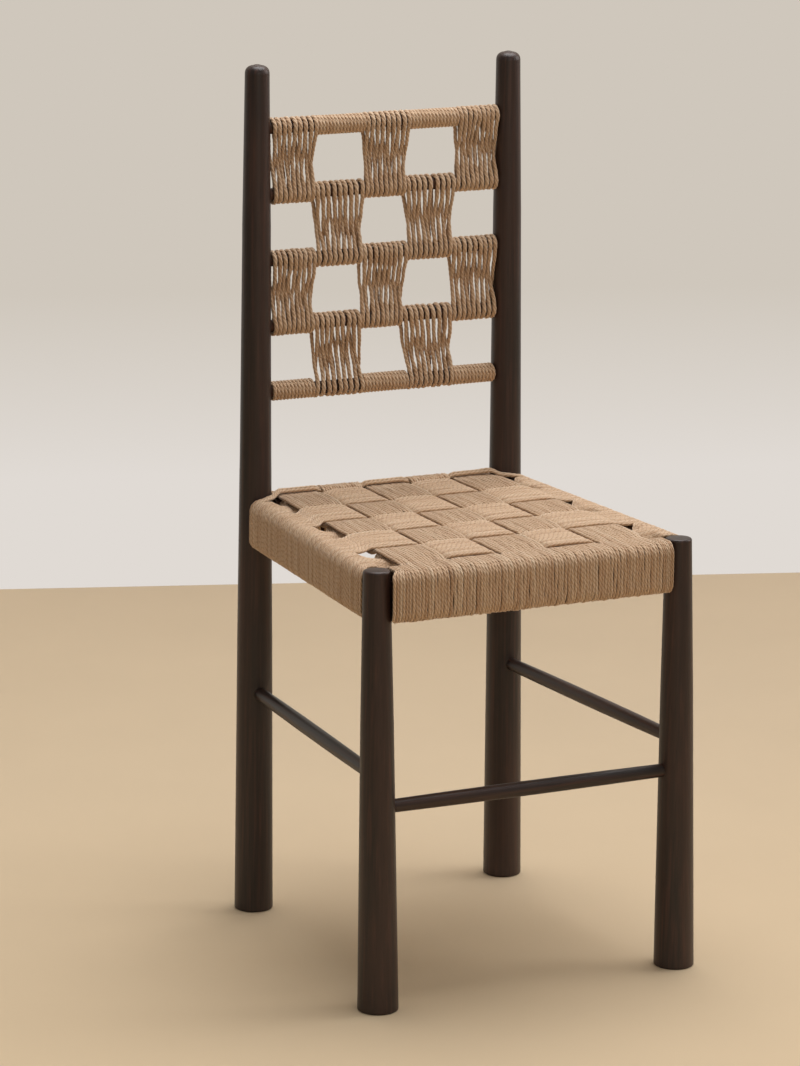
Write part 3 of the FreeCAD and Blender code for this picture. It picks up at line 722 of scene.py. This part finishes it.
@dataclass
class WovenSeat:
    """The seat: bands of cord woven over the four rails."""

    cord: float = 0.0037
    cords_in_band: int = 16
    bands: int = 5
    letters: str = "abcde"
    lift: float = 0.0016
    droop: float = 0.0016
    uneven_droop: float = 0.0009
    droop_end: Ease = Ease(0.0, 0.012)
    layer: float = 0.0042
    slot: float = 0.0056
    bulge: float = 0.0050
    band_gap: float = 0.0004
    warp_crown: float = 0.0018
    weft_crown: float = 0.0020
    sag: float = 0.0004
    warp_arch: float = 3.0
    weft_arch: float = 4.0
    dive: float = 0.0120
    last_dive: Pair = (0.1845, 0.011)
    early_arch: float = 0.0050
    tail: float = 0.022
    spread: float = 0.008
    step: float = 0.0005
    front_pitch: float = 0.0570
    rear_pitch: float = 0.0528
    front_looseness: float = 0.22
    side_looseness: float = 0.12
    gap_rarity: int = 4
    widest: float = 1.06
    overlap: float = 1.14
    warp_stray: float = 0.00028
    stray: float = 0.00022
    front_slot_lead: float = 0.0072
    rear_slot_lead: float = 0.0010
    rear_band_edge: float = 0.018
    rear_fan: float = 0.0075
    rear_fan_turn: Ease = Ease(0.187, 0.011)
    bundle: tuple[Triple, ...] = (
        (-0.5, 0.0, -1.0), (0.5, 0.0, 1.0), (0.0, 0.45, 0.0))
    bundle_seat: float = 0.1755
    bundle_rail: float = 0.1551
    bundle_turn: Ease = Ease(0.116, 0.042)
    bundle_drop: Ease = Ease(0.128, 0.026)
    corner_rise: float = 0.0016
    corner_up: Ease = Ease(0.112, 0.022)
    corner_down: Ease = Ease(0.142, 0.020)
    hole_pinch: float = 0.0084
    hole_sink: float = 0.0065
    hole_sink_power: float = 1.5
    hole_depth: float = 0.006
    hole_inner: Ease = Ease(-0.004, 0.010)
    hole_outer: Ease = Ease(-0.003, 0.008)
    end_turns: int = 6
    end_overlap: float = 1.02
    end_fan: Pair = (0.0068, -0.0012)
    end_fan_turn: Ease = Ease(-0.0075, 0.0100)
    end_gap: float = 0.0006
    side_fan: float = 0.0070
    side_fan_turn: Ease = Ease(0.004, 0.007)
    side_front: Pair = (0.1734, -0.16487)
    side_rear: Pair = (0.1504, 0.18043)
    side_half: float = 0.01002
    rail_round: float = 0.007
    rear_round: float = 0.005
    row_start: float = -0.14827
    row_pitch_on_rail: float = 0.05953
    warp_seed: int = 100
    weft_seed: int = 200
    rear_seed: int = 300
    end_seed: int = 400
    finish: Material = field(default=None, repr=False)

    def __post_init__(self) -> None:
        """Read the rails' places from the frame."""
        low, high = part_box("seat_rail_front")
        self.front = RailEdge(low.y, high.y, low.z - self.droop, high.z, self.rail_round)
        low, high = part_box("seat_rail_rear")
        self.rear = RailEdge(high.y, low.y, low.z - self.droop, high.z, self.rear_round)
        self.bottom, self.top = low.z - self.droop, high.z
        self.front_slot = self.front.inner + self.front_slot_lead
        self.rear_slot = self.rear.inner + self.rear_slot_lead
        self.row_pitch = (self.rear_slot - self.front_slot) / self.bands
        self.offset = self.lift + self.cord / 2
        self.over = self.top + self.offset
        self.under = self.over - self.layer
        self.upper = self.over + self.layer

    def slot_x(self, index: float, y: Array | float) -> Array | float:
        """Where a slot between warp bands runs at a depth."""
        share = (y - self.front_slot) / (self.rear_slot - self.front_slot)
        pitch = self.front_pitch + (self.rear_pitch - self.front_pitch) * share
        return (index - self.bands / 2) * pitch

    def crossings(self, over_first: bool, crown: float) -> tuple[list[float], list[float]]:
        """Levels of a band that goes over and under by turns.

        Args:
            over_first: Whether it starts on top.
            crown: How far it arches up where it is on top.

        Returns:
            Its level before the first crossing and at each, and how far each arches up.
        """
        arches = [(number % 2 == 0) == over_first for number in range(self.bands)]
        levels = [self.over] + [self.over if arch else self.under for arch in arches]
        return levels, [crown if arch else -self.sag for arch in arches]

    def profile(self, s: Array, dives: list[Pair], slots: list[float],
                levels: list[float], crowns: list[float], power: float) -> tuple:
        """Height of a woven cord's middle.

        Args:
            s: Distances along the seat.
            dives: Middle and length of each passage from one level to the next.
            slots: Where one crossing ends and the next begins.
            levels: Its level before the first dive and after each.
            crowns: How far each crossing arches up.
            power: How flat the top of an arch is.

        Returns:
            The heights, and how near each place is to the middle of a crossing.
        """
        z = np.full_like(s, levels[0])
        for (place, length), before, after in zip(dives, levels, levels[1:]):
            z += (after - before) * smooth((s - place) / length + 0.5)
        middle = np.zeros_like(s)
        for near, far, crown in zip(slots, slots[1:], crowns):
            share = np.clip((s - near) / (far - near), 0, 1)
            arch = 1 - np.abs(2 * share - 1) ** power
            z += crown * arch
            middle += arch
        return z, middle

    def ranged(self, piece: CordPiece, looseness: float) -> tuple[Array, float]:
        """Set a band's cords out on a rail, with a wider gap here and there.

        Args:
            piece: The band, which has its own source of chance.
            looseness: The widest gap, as a share of a cord's width.

        Returns:
            Each cord's place across the band, from -0.5 to 0.5, and its width as a share of
            the band's.
        """
        gaps = [looseness * piece.luck.random() ** self.gap_rarity
                for _ in range(self.cords_in_band - 1)]
        steps = np.cumsum([0.5] + [1 + gap for gap in gaps])
        whole = self.cords_in_band + sum(gaps)
        return steps / whole - 0.5, 1 / whole

    def warp(self, index: int) -> CordPiece:
        """A band from the front rail to the rear rail.

        Args:
            index: Which, from the left.

        Returns:
            The band's cords.
        """
        over_first = index % 2 == 0
        slots = [self.front_slot + row * self.row_pitch for row in range(self.bands + 1)]
        levels, crowns = self.crossings(over_first, self.warp_crown)
        levels += [self.over if over_first else self.upper, self.over]
        name = "warp_cords_" + self.letters[index]
        piece = CordPiece(name, TwistedCord(self.cord), self.warp_seed + index)
        near = self.front.turn_round(self.offset, self.tail)
        far = self.rear.turn_round(self.offset, self.tail)
        y = np.arange(near[-1, 0] + self.step, far[-1, 0], self.step)
        dives = [(slot, self.dive) for slot in slots] + [self.last_dive]
        z, middle = self.profile(y, dives, slots, levels, crowns, self.warp_arch)
        path = np.concatenate([near, np.stack([y, z], 1), far[::-1]])
        fullness = np.pad(middle, (len(near), len(far)))
        places, share = self.ranged(piece, self.front_looseness)
        for number in range(self.cords_in_band):
            even = (number + 0.5) / self.cords_in_band - 0.5
            line, width = self.warp_plan(index, (even, places[number], share), path, fullness)
            hang = self.uneven_droop * piece.luck.random()
            line[:, 2] -= hang * (1 - self.droop_end.at(line[:, 2] - self.bottom))
            piece.lay(line, Axis.X, width, self.warp_stray)
        return piece

    def warp_plan(self, index: int, place: Triple, path: Array,
                  fullness: Array) -> tuple:
        """Spread a warp cord's path sideways.

        Args:
            index: Which band.
            place: Its place in the band on the seat and on a rail, and its width on a rail.
            path: Depth and height of its points.
            fullness: How near each is to the middle of a crossing.

        Returns:
            Points in space and the cord's width at each.
        """
        even, on_rail, share = place
        y = path[:, 0]
        front_edge = self.front_slot - self.slot / 2
        rear_edge = self.rear.outer - self.rear_band_edge
        closed = smooth((front_edge - y) / self.spread) + smooth((y - rear_edge) / self.spread)
        left, right = self.slot_x(index, y), self.slot_x(index + 1, y)
        narrow = right - left - self.slot + (self.slot - self.band_gap) * closed
        width = narrow + self.bulge * fullness
        x = (left + right) / 2 + (even + (on_rail - even) * closed) * width
        thin = narrow * (1 / self.cords_in_band + (share - 1 / self.cords_in_band) * closed)
        end = (index == self.bands - 1) - (index == 0)
        fan = self.rear_fan * self.rear_fan_turn.at(y)
        x = x + end * fan * (end * on_rail + 0.5)
        thin = thin + abs(end) * fan / self.cords_in_band
        return np.stack([x, y, path[:, 1]], 1), self.squeezed(thin)

    def squeezed(self, pitch: Array) -> Array:
        """Width of a cord whose neighbours lie a pitch away."""
        return np.minimum(self.cord * self.widest, pitch * self.overlap)

    def side_middle(self, y: Array | float) -> Array | float:
        """Distance of a side rail's middle line at a depth."""
        share = (y - self.side_front[1]) / (self.side_rear[1] - self.side_front[1])
        return self.side_front[0] + (self.side_rear[0] - self.side_front[0]) * share

    def across_seat(self, y_rail: float, y_seat: float, levels: list[float],
                    crowns: list[float]) -> tuple:
        """Path of one cord from the left rail to the right rail.

        Args:
            y_rail: Its depth on the side rails.
            y_seat: Its depth on the seat.
            levels: Its level before the first slot and after each.
            crowns: How far each crossing arches up.

        Returns:
            Points of distance from the middle and height, and the fullness at each.
        """
        middle_x = self.side_middle(y_rail)
        outer, inner = middle_x + self.side_half, middle_x - self.side_half
        near, far = (
            RailEdge(way * outer, way * inner, self.bottom, self.top, self.rail_round)
            .turn_round(self.offset, self.tail) for way in (-1, 1))
        x = np.arange(near[-1, 0] + self.step, far[-1, 0], self.step)
        slots = [self.slot_x(index, y_seat) for index in range(self.bands + 1)]
        dives = [(slot, self.dive) for slot in slots]
        face = inner + self.rail_round / 2
        low_end = slots[-1] - self.slot / 2
        if levels[1] < self.over:
            dives[0] = (-(face + low_end) / 2, face - low_end)
            dives[-1] = ((face + low_end) / 2, face - low_end)
        else:
            slots[0] -= self.early_arch
            slots[-1] += self.early_arch
        z, middle = self.profile(x, dives, slots, levels, crowns, self.weft_arch)
        path = np.concatenate([near, np.stack([x, z], 1), far[::-1]])
        return path, np.pad(middle, (len(near), len(far)))

    def weft(self, row: int) -> CordPiece:
        """A band from the left rail to the right rail.

        Args:
            row: Which, from the front.

        Returns:
            The band's cords.
        """
        over_first = row % 2 == 1
        levels, crowns = self.crossings(over_first, self.weft_crown)
        levels.append(self.over)
        name = "weft_cords_%d" % (self.bands - row)
        piece = CordPiece(name, TwistedCord(self.cord), self.weft_seed + row)
        rail_low = self.row_start + row * self.row_pitch_on_rail + self.band_gap / 2
        rail_width = self.row_pitch_on_rail - self.band_gap
        seat_middle = self.front_slot + (row + 0.5) * self.row_pitch
        places, share = self.ranged(piece, self.side_looseness)
        for number in range(self.cords_in_band):
            even = (number + 0.5) / self.cords_in_band - 0.5
            y_rail = rail_low + (places[number] + 0.5) * rail_width
            y_crossing = seat_middle + even * self.row_pitch
            path, fullness = self.across_seat(y_rail, y_crossing, levels, crowns)
            out, z = np.abs(path[:, 0]), path[:, 1]
            width = self.row_pitch - self.slot + self.bulge * fullness
            y_seat = seat_middle + even * width
            inner_edge = self.slot_x(self.bands, y_seat) - self.slot / 2
            middle_x = self.side_middle(y_rail)
            face = middle_x - self.side_half
            onto_rail = smooth((out - inner_edge) / (face - inner_edge))
            y = y_seat + (y_rail - y_seat) * onto_rail
            thin = width / self.cords_in_band
            thin = thin + (rail_width * share - thin) * onto_rail
            if not over_first:
                stretch = self.hole_inner.at(out - inner_edge)
                stretch = stretch * (1 - self.hole_outer.at(out - face))
                stretch = np.where(z > self.top - self.hole_depth, stretch, 0.0)
                y = y - self.hole_pinch * stretch * 2 * even * abs(2 * even)
                z = z - self.hole_sink * stretch * abs(2 * even) ** self.hole_sink_power
                thin = thin - self.hole_pinch * stretch * abs(8 * even) / self.cords_in_band
            if row == 0:
                outer = self.side_fan * self.side_fan_turn.at(out - middle_x)
                y = y - outer * (0.5 - even) ** 2
                thin = thin + outer * (1 - 2 * even) / self.cords_in_band
            line = np.stack([path[:, 0], y, z], 1)
            piece.lay(line, Axis.Y, self.squeezed(thin), self.stray)
        return piece

    def rear_row(self) -> CordPiece:
        """The thin rearmost row, which lies on the rear rail between the posts."""
        levels = [self.upper if column % 2 == 0 else self.over for column in range(self.bands)]
        levels = [self.over, *levels, self.over]
        piece = CordPiece("rear_row_cords", TwistedCord(self.cord), self.rear_seed)
        for aside, above, on_side in self.bundle:
            y_rail = self.bundle_rail + on_side * self.cord
            y_seat = self.bundle_seat + aside * self.cord
            path, _ = self.across_seat(y_rail, y_seat, levels, [0.0] * self.bands)
            out = np.abs(path[:, 0])
            y = y_seat + (y_rail - y_seat) * self.bundle_turn.at(out)
            z = path[:, 1] + above * self.cord * (1 - self.bundle_drop.at(out))
            z = z + self.corner_rise * self.corner_up.at(out) * (1 - self.corner_down.at(out))
            piece.lay(np.stack([path[:, 0], y, z], 1), Axis.Y, None, self.stray)
        return piece

    def end_wrap(self, name: str, side: int) -> CordPiece:
        """Turns of cord at one end of the front rail.

        Args:
            name: Side in words.
            side: -1 for the left, 1 for the right.

        Returns:
            The turns.
        """
        cord = TwistedCord(self.cord)
        piece = CordPiece("front_rail_end_cords_" + name, cord, self.end_seed + side)
        low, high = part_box("front_rail_wrap_" + name)
        front = self.front
        other = RailEdge(front.inner, front.outer, front.bottom, front.top, front.corner)
        over_edge = other.turn_round(self.offset, self.tail)[-front.steps - 1:]
        back = np.array([(front.inner + self.offset, self.bottom + self.tail + self.end_gap)])
        down = front.turn_round(self.offset, self.tail)
        y, z = np.concatenate([down, over_edge[::-1], back]).T
        fan = self.end_fan[side > 0] * self.end_fan_turn.at(front.outer - y)
        far = max(abs(low.x), abs(high.x)) + fan
        edge = self.slot_x(self.bands, y) + self.band_gap / 2
        width = np.minimum(self.cord, (far - edge) / self.end_turns * self.end_overlap)
        for number in range(self.end_turns):
            x = side * (edge + (number + 0.5) / self.end_turns * (far - edge))
            piece.lay(np.stack([x, y, z], 1), Axis.X, width)
        return piece

    def build(self) -> None:
        """Lay every band and put it in place."""
        for index, letter in enumerate(self.letters):
            self.warp(index).build(self.finish, "seat_warp_" + letter)
        for row in range(self.bands):
            self.weft(row).build(self.finish, "seat_weft_%d" % (self.bands - row))
        self.rear_row().build(self.finish, "seat_weft_rear")
        for name, side in (("left", -1), ("right", 1)):
            self.end_wrap(name, side).build(self.finish, "front_rail_wrap_" + name)


@dataclass
class Rung:
    """A back rung's middle line and radius."""

    y: float
    z: float
    radius: float

    @classmethod
    def found(cls, number: int) -> "Rung":
        """The frame's rung of that number, from the top."""
        low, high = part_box("back_rung_%d" % number)
        return cls((low.y + high.y) / 2, (low.z + high.z) / 2, (high.z - low.z) / 2)


@dataclass
class WoundBack:
    """The back: figure-eight panels and spiral windings in a chequered pattern."""

    cord: float = 0.0046
    wrap: float = 0.0048
    lift: float = 0.00015
    loops: int = 9
    top_post_radius: float = 0.01397
    bottom_post_radius: float = 0.01653
    dowel_end: float = 0.004
    left_bare: tuple[float, ...] = (0.0002, 0.0018, 0.0002, 0.0008, 0.0002)
    right_bare: float = 0.0006
    section_shares: tuple[tuple[float, ...], ...] = (
        (0.200, 0.209, 0.199, 0.213, 0.179),
        (0.182, 0.219, 0.185, 0.222, 0.192),
        (0.194, 0.204, 0.201, 0.198, 0.203),
        (0.182, 0.206, 0.189, 0.222, 0.201),
        (0.187, 0.219, 0.200, 0.204, 0.190),
    )
    upper_unevenness: float = 0.36
    lower_unevenness: float = 0.34
    widest_gap: float = 3.0
    fullest: float = 0.91
    end_gap_share: float = 0.12
    strand_thinning: float = 0.16
    crossing_thinning: float = 0.16
    crossing_luck: float = 0.45
    level_luck: float = 0.15
    tail_angle: float = math.pi * 1.35
    tail_steps: int = 6
    arc_steps: int = 14
    strand_steps: int = 18
    panel_step: float = 0.0015
    stray: float = 0.00030
    spiral_cord: float = 0.0041
    spiral_step: float = 0.0013
    spiral_lead: float = 0.32
    spiral_overlap: float = 1.04
    spiral_steps: int = 28
    panel_seed: int = 500
    spiral_seed: int = 700
    panels: tuple[tuple[int, int], ...] = (
        (1, 1), (1, 3), (1, 5), (2, 2), (2, 4), (3, 1), (3, 3), (3, 5), (4, 2), (4, 4))
    spirals: tuple[tuple[str, int, int], ...] = (
        ("top", 1, 2), ("top", 1, 4), ("bottom", 5, 1), ("bottom", 5, 3), ("bottom", 5, 5))
    finish: Material = field(default=None, repr=False)

    def section(self, number: int, column: int) -> Pair:
        """Where one column's cord begins and ends on a rung.

        Args:
            number: Number of the rung, from the top.
            column: Column, from the left.

        Returns:
            Its left and right end.
        """
        low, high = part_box("back_rung_%d" % number)
        down = (number - 1) / (len(self.section_shares) - 1)
        post = self.top_post_radius + (self.bottom_post_radius - self.top_post_radius) * down
        left = low.x + self.dowel_end + post + self.left_bare[number - 1]
        right = high.x - self.dowel_end - post - self.right_bare
        shares = self.section_shares[number - 1]
        begin, end = (sum(shares[:count]) / sum(shares) for count in (column - 1, column))
        return left + (right - left) * begin, left + (right - left) * end

    def wrap_width(self, section: Pair) -> float:
        """Width of a wrap where a panel's wraps leave some of the rung bare."""
        return min(self.wrap, self.fullest * (section[1] - section[0]) / self.loops)

    def wraps(self, section: Pair, luck: random.Random,
              unevenness: float) -> list[float]:
        """Places of a panel's wraps along a rung, touching here and apart there.

        Args:
            section: Left and right end of the panel there.
            luck: Seeded source of chance.
            unevenness: How much the gaps differ, from nought to one.

        Returns:
            The middle of each wrap.
        """
        gaps = [1 - unevenness + self.widest_gap * unevenness * luck.random() ** 2
                for _ in range(self.loops - 1)]
        gaps = [self.end_gap_share] + gaps + [self.end_gap_share]
        wrap = self.wrap_width(section)
        scale = (section[1] - section[0] - self.loops * wrap) / sum(gaps)
        places, x = [], section[0]
        for gap in gaps[:-1]:
            x += gap * scale
            places.append(x + wrap / 2)
            x += wrap
        return places

    def panel(self, row: int, column: int) -> CordPiece:
        """A figure-eight winding between two rungs.

        Args:
            row: Row of the panel, from the top.
            column: Column of the panel, from the left.

        Returns:
            Its one length of cord.
        """
        cord = TwistedCord(self.cord, ring_step=self.panel_step)
        seed = self.panel_seed + 10 * row + column
        piece = CordPiece("panel_cord_%d_%d" % (row, column), cord, seed)
        luck = piece.luck
        upper, lower = Rung.found(row), Rung.found(row + 1)
        up = Vector((0, upper.y - lower.y, upper.z - lower.z))
        spacing = up.length
        up.normalize()
        radius = upper.radius + self.lift + self.cord / 2
        lean = math.asin(2 * radius / spacing)
        above, below = self.section(row, column), self.section(row + 1, column)
        high = self.wraps(above, luck, self.upper_unevenness)
        low = self.wraps(below, luck, self.lower_unevenness) + [below[1]]
        first = (above[0] + below[0]) / 2
        narrow = ((above[1] + below[1]) / 2 - first) / (2 * self.loops)
        points: list[Triple] = []
        widths: list[float] = []

        def arc(x: float, level: float, start: float, end: float, steps: int) -> None:
            """Go round a rung from one angle to another."""
            wide = self.wrap_width(above if level == 0 else below)
            for step in range(steps + 1):
                angle = start + (end - start) * step / steps
                points.append((x, radius * math.cos(angle), level + radius * math.sin(angle)))
                widths.append(wide)

        def strand(number: int, x: float, level: float) -> None:
            """Go to the back of the other rung, past the strands before."""
            x0, f0, h0 = points[-1]
            f1 = -radius * math.cos(lean)
            h1 = level + (-1 if level == 0 else 1) * radius * math.sin(lean)
            crossing = first + (number + 0.5 + luck.uniform(-1, 1) * self.crossing_luck) * narrow
            bend = math.log(0.5) / math.log(0.5 + luck.uniform(-1, 1) * self.level_luck)
            pull = crossing - (x0 + x) / 2
            for step in range(1, self.strand_steps):
                t = step / self.strand_steps
                bump = math.sin(math.pi * t ** bend) ** 2
                across = x0 + (x - x0) * t + pull * bump
                points.append((across, f0 + (f1 - f0) * t, h0 + (h1 - h0) * t))
                thinning = self.strand_thinning * bump + self.crossing_thinning * bump ** 3
                widths.append(self.cord * (1 - thinning))

        under_back, under_front = math.pi - lean, math.tau + lean
        arc(low[0], -spacing, self.tail_angle, under_front, self.arc_steps)
        for loop in range(self.loops):
            strand(2 * loop, high[loop], 0)
            arc(high[loop], 0, math.pi + lean, -lean, self.arc_steps)
            strand(2 * loop + 1, low[loop + 1], -spacing)
            if loop < self.loops - 1:
                arc(low[loop + 1], -spacing, under_back, under_front, self.arc_steps)
        arc(low[-1], -spacing, under_back, self.tail_angle, self.tail_steps)
        x, forwards, upwards = np.array(points).T
        y = upper.y - forwards * up.z + upwards * up.y
        z = upper.z + forwards * up.y + upwards * up.z
        piece.lay(np.stack([x, y, z], 1), Axis.X, np.array(widths), self.stray)
        return piece

    def spiral(self, place: str, number: int, column: int) -> CordPiece:
        """A close spiral on one rung.

        Args:
            place: Which rung in words.
            number: Number of the rung, from the top.
            column: Column of the winding, from the left.

        Returns:
            Its one length of cord.
        """
        rung = Rung.found(number)
        start, end = self.section(number, column)
        turns = round((end - start) / self.spiral_cord) - 1
        pitch = (end - start) / (turns + 1)
        cord = TwistedCord(self.spiral_cord, ring_step=self.spiral_step)
        seed = self.spiral_seed + 10 * number + column
        piece = CordPiece("spiral_cord_%s_%d" % (place, column), cord, seed)
        radius = rung.radius + self.lift + self.spiral_cord / 2
        lead = self.spiral_lead
        steps = int((turns + 2 * lead) * self.spiral_steps)
        turn = np.linspace(-lead, turns + lead, steps + 1)
        angle = math.tau * turn + math.pi
        x = start + pitch / 2 + pitch * np.clip(turn, 0, turns)
        y, z = rung.y + radius * np.cos(angle), rung.z + radius * np.sin(angle)
        width = np.full(len(x), pitch * self.spiral_overlap)
        piece.lay(np.stack([x, y, z], 1), Axis.X, width)
        return piece

    def build(self) -> None:
        """Wind every panel and spiral and put it in place."""
        for row, column in self.panels:
            self.panel(row, column).build(self.finish, "back_panel_%d_%d" % (row, column))
        for place, number, column in self.spirals:
            node = "rung_winding_%s_%d" % (place, column)
            self.spiral(place, number, column).build(self.finish, node)


@dataclass
class TurnedFrame:
    """The wooden pieces and the tacks, which keep the frame's own shapes."""

    wood: StainedWood = StainedWood()
    # Painted light: a lighter, warmer copy of the stained wood for the rails and rungs, which show
    # only in the gaps between cords.
    covered: StainedWood = StainedWood(
        label="covered_wood_painted_light", deep=colour(46, 28, 18), body=colour(66, 41, 26),
        warm=colour(86, 55, 36), least_roughness=0.54)
    covered_parts: tuple[str, ...] = ("seat_rail", "back_rung")
    steel: TackSteel = TackSteel()
    steel_parts: str = "seat_tacks"
    grain: tuple[tuple[Axis, tuple[str, ...]], ...] = (
        (Axis.X, ("front_stretcher", "back_rung", "seat_rail_front", "seat_rail_rear")),
        (Axis.Y, ("side_stretcher", "seat_rail_left", "seat_rail_right")),
        (Axis.Z, ("front_leg", "rear_post")),
    )

    def build(self, nodes: dict[str, bpy.types.Object]) -> None:
        """Give each node its finish.

        Args:
            nodes: The frame's objects by name.
        """
        woods = {axis: self.wood.material(axis) for axis in Axis}
        dull = {axis: self.covered.material(axis) for axis in (Axis.X, Axis.Y)}
        steel = self.steel.material()
        for name, node in sorted(nodes.items()):
            finish = steel if name.startswith(self.steel_parts) else None
            for axis, starts in self.grain:
                if name.startswith(starts):
                    # Covered rails and rungs get the lighter copy of the wood, which is painted
                    # light.
                    finish = (dull if name.startswith(self.covered_parts) else woods)[axis]
            if finish is None:
                continue
            for slot in node.material_slots:
                slot.material = finish
            log.info("%s gets %s", name, finish.name)


@dataclass
class Studio:
    """The camera, the floor, the wall and the lamps."""

    turn: float = -26.335
    height: float = 13.6805
    roll: float = 0.749
    distance: float = 4.82137
    aim: Triple = (-0.06286, 0.00778, 0.44845)
    focal_pixels: float = 4614.14
    photo_height: float = 1066.0
    sensor: float = 36.0
    view_depth: float = 60.0
    floor_size: float = 14.0
    wall_size: float = 8.0
    wall_point: Pair = (0.68891, 1.38535)
    wall_turn: float = -18.456
    lamps: tuple[tuple, ...] = (
        ("overhead_lamp", (0.5, 0.4, 3.0), (0, 0, 0.4), 2.2, 84, (0.985, 0.985, 1.0)),
        ("side_lamp", (2.8, -0.6, 1.9), (0, 0, 0.5), 1.6, 30, (1.0, 0.99, 0.975)),
        ("front_lamp", (-0.6, -3.4, 1.6), (0, 0, 0.45), 1.6, 12.5, (1.0, 0.87, 0.75)),
    )
    air: Colour = (1.0, 0.975, 0.945)
    air_strength: float = 0.26

    def camera(self) -> None:
        """Stand the camera where the photograph was taken."""
        data = bpy.data.cameras.new("camera")
        data.lens = self.focal_pixels / self.photo_height * self.sensor
        data.sensor_width = self.sensor
        data.clip_end = self.view_depth
        lens = bpy.data.objects.new("camera", data)
        bpy.context.scene.collection.objects.link(lens)
        turn, height, roll = (math.radians(v) for v in (self.turn, self.height, self.roll))
        level = math.cos(height)
        back = Vector((math.sin(turn) * level, -math.cos(turn) * level, math.sin(height)))
        flat = (-back).cross(Vector((0, 0, 1))).normalized()
        steep = flat.cross(-back)
        right = math.cos(roll) * flat + math.sin(roll) * steep
        up = math.cos(roll) * steep - math.sin(roll) * flat
        place = Vector(self.aim) + back * self.distance
        turned = Matrix((right, up, back)).transposed().to_4x4()
        lens.matrix_world = Matrix.Translation(place) @ turned
        bpy.context.scene.camera = lens

    def ground(self) -> None:
        """Lay the floor and stand the wall behind it."""
        standing = (math.pi / 2, 0, math.radians(self.wall_turn))
        pieces = (
            ("floor", Floor(), self.floor_size, (0, 0, 0), (0, 0, 0)),
            ("wall", Wall(), self.wall_size, (*self.wall_point, self.wall_size / 2), standing),
        )
        for name, finish, size, place, turn in pieces:
            bpy.ops.object.select_all(action="DESELECT")
            bpy.ops.mesh.primitive_plane_add(size=size, location=place, rotation=turn)
            made = bpy.context.active_object
            made.name = name
            made.data.materials.append(finish.material())
            bpy.ops.object.transform_apply(location=True, rotation=True, scale=True)

    def hang_lamps(self) -> None:
        """Hang the soft square lamps, each by its name, place, aim, side, power and colour."""
        for name, place, aim, side, power, tint in self.lamps:
            data = bpy.data.lights.new(name, "AREA")
            data.shape = "SQUARE"
            data.size = side
            data.energy = power
            data.color = tint
            made = bpy.data.objects.new(name, data)
            bpy.context.scene.collection.objects.link(made)
            made.location = place
            made.rotation_mode = "QUATERNION"
            made.rotation_quaternion = (Vector(aim) - Vector(place)).to_track_quat("-Z", "Y")

    def build(self) -> None:
        """Set up the whole studio."""
        self.camera()
        self.ground()
        self.hang_lamps()
        world = bpy.data.worlds.new("studio")
        world.use_nodes = True
        inputs = world.node_tree.nodes["Background"].inputs
        inputs["Color"].default_value = (*self.air, 1)
        inputs["Strength"].default_value = self.air_strength
        bpy.context.scene.world = world
        bpy.context.scene.view_settings.view_transform = "Standard"
        log.info("studio is set up")


def main() -> None:
    """Build the chair's looks, piece by piece."""
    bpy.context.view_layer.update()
    Studio().build()
    TurnedFrame().build(frame["nodes"])
    cord = PaperCord().material()
    WovenSeat(finish=cord).build()
    WoundBack(finish=cord).build()


if __name__ == "__main__":
    main()
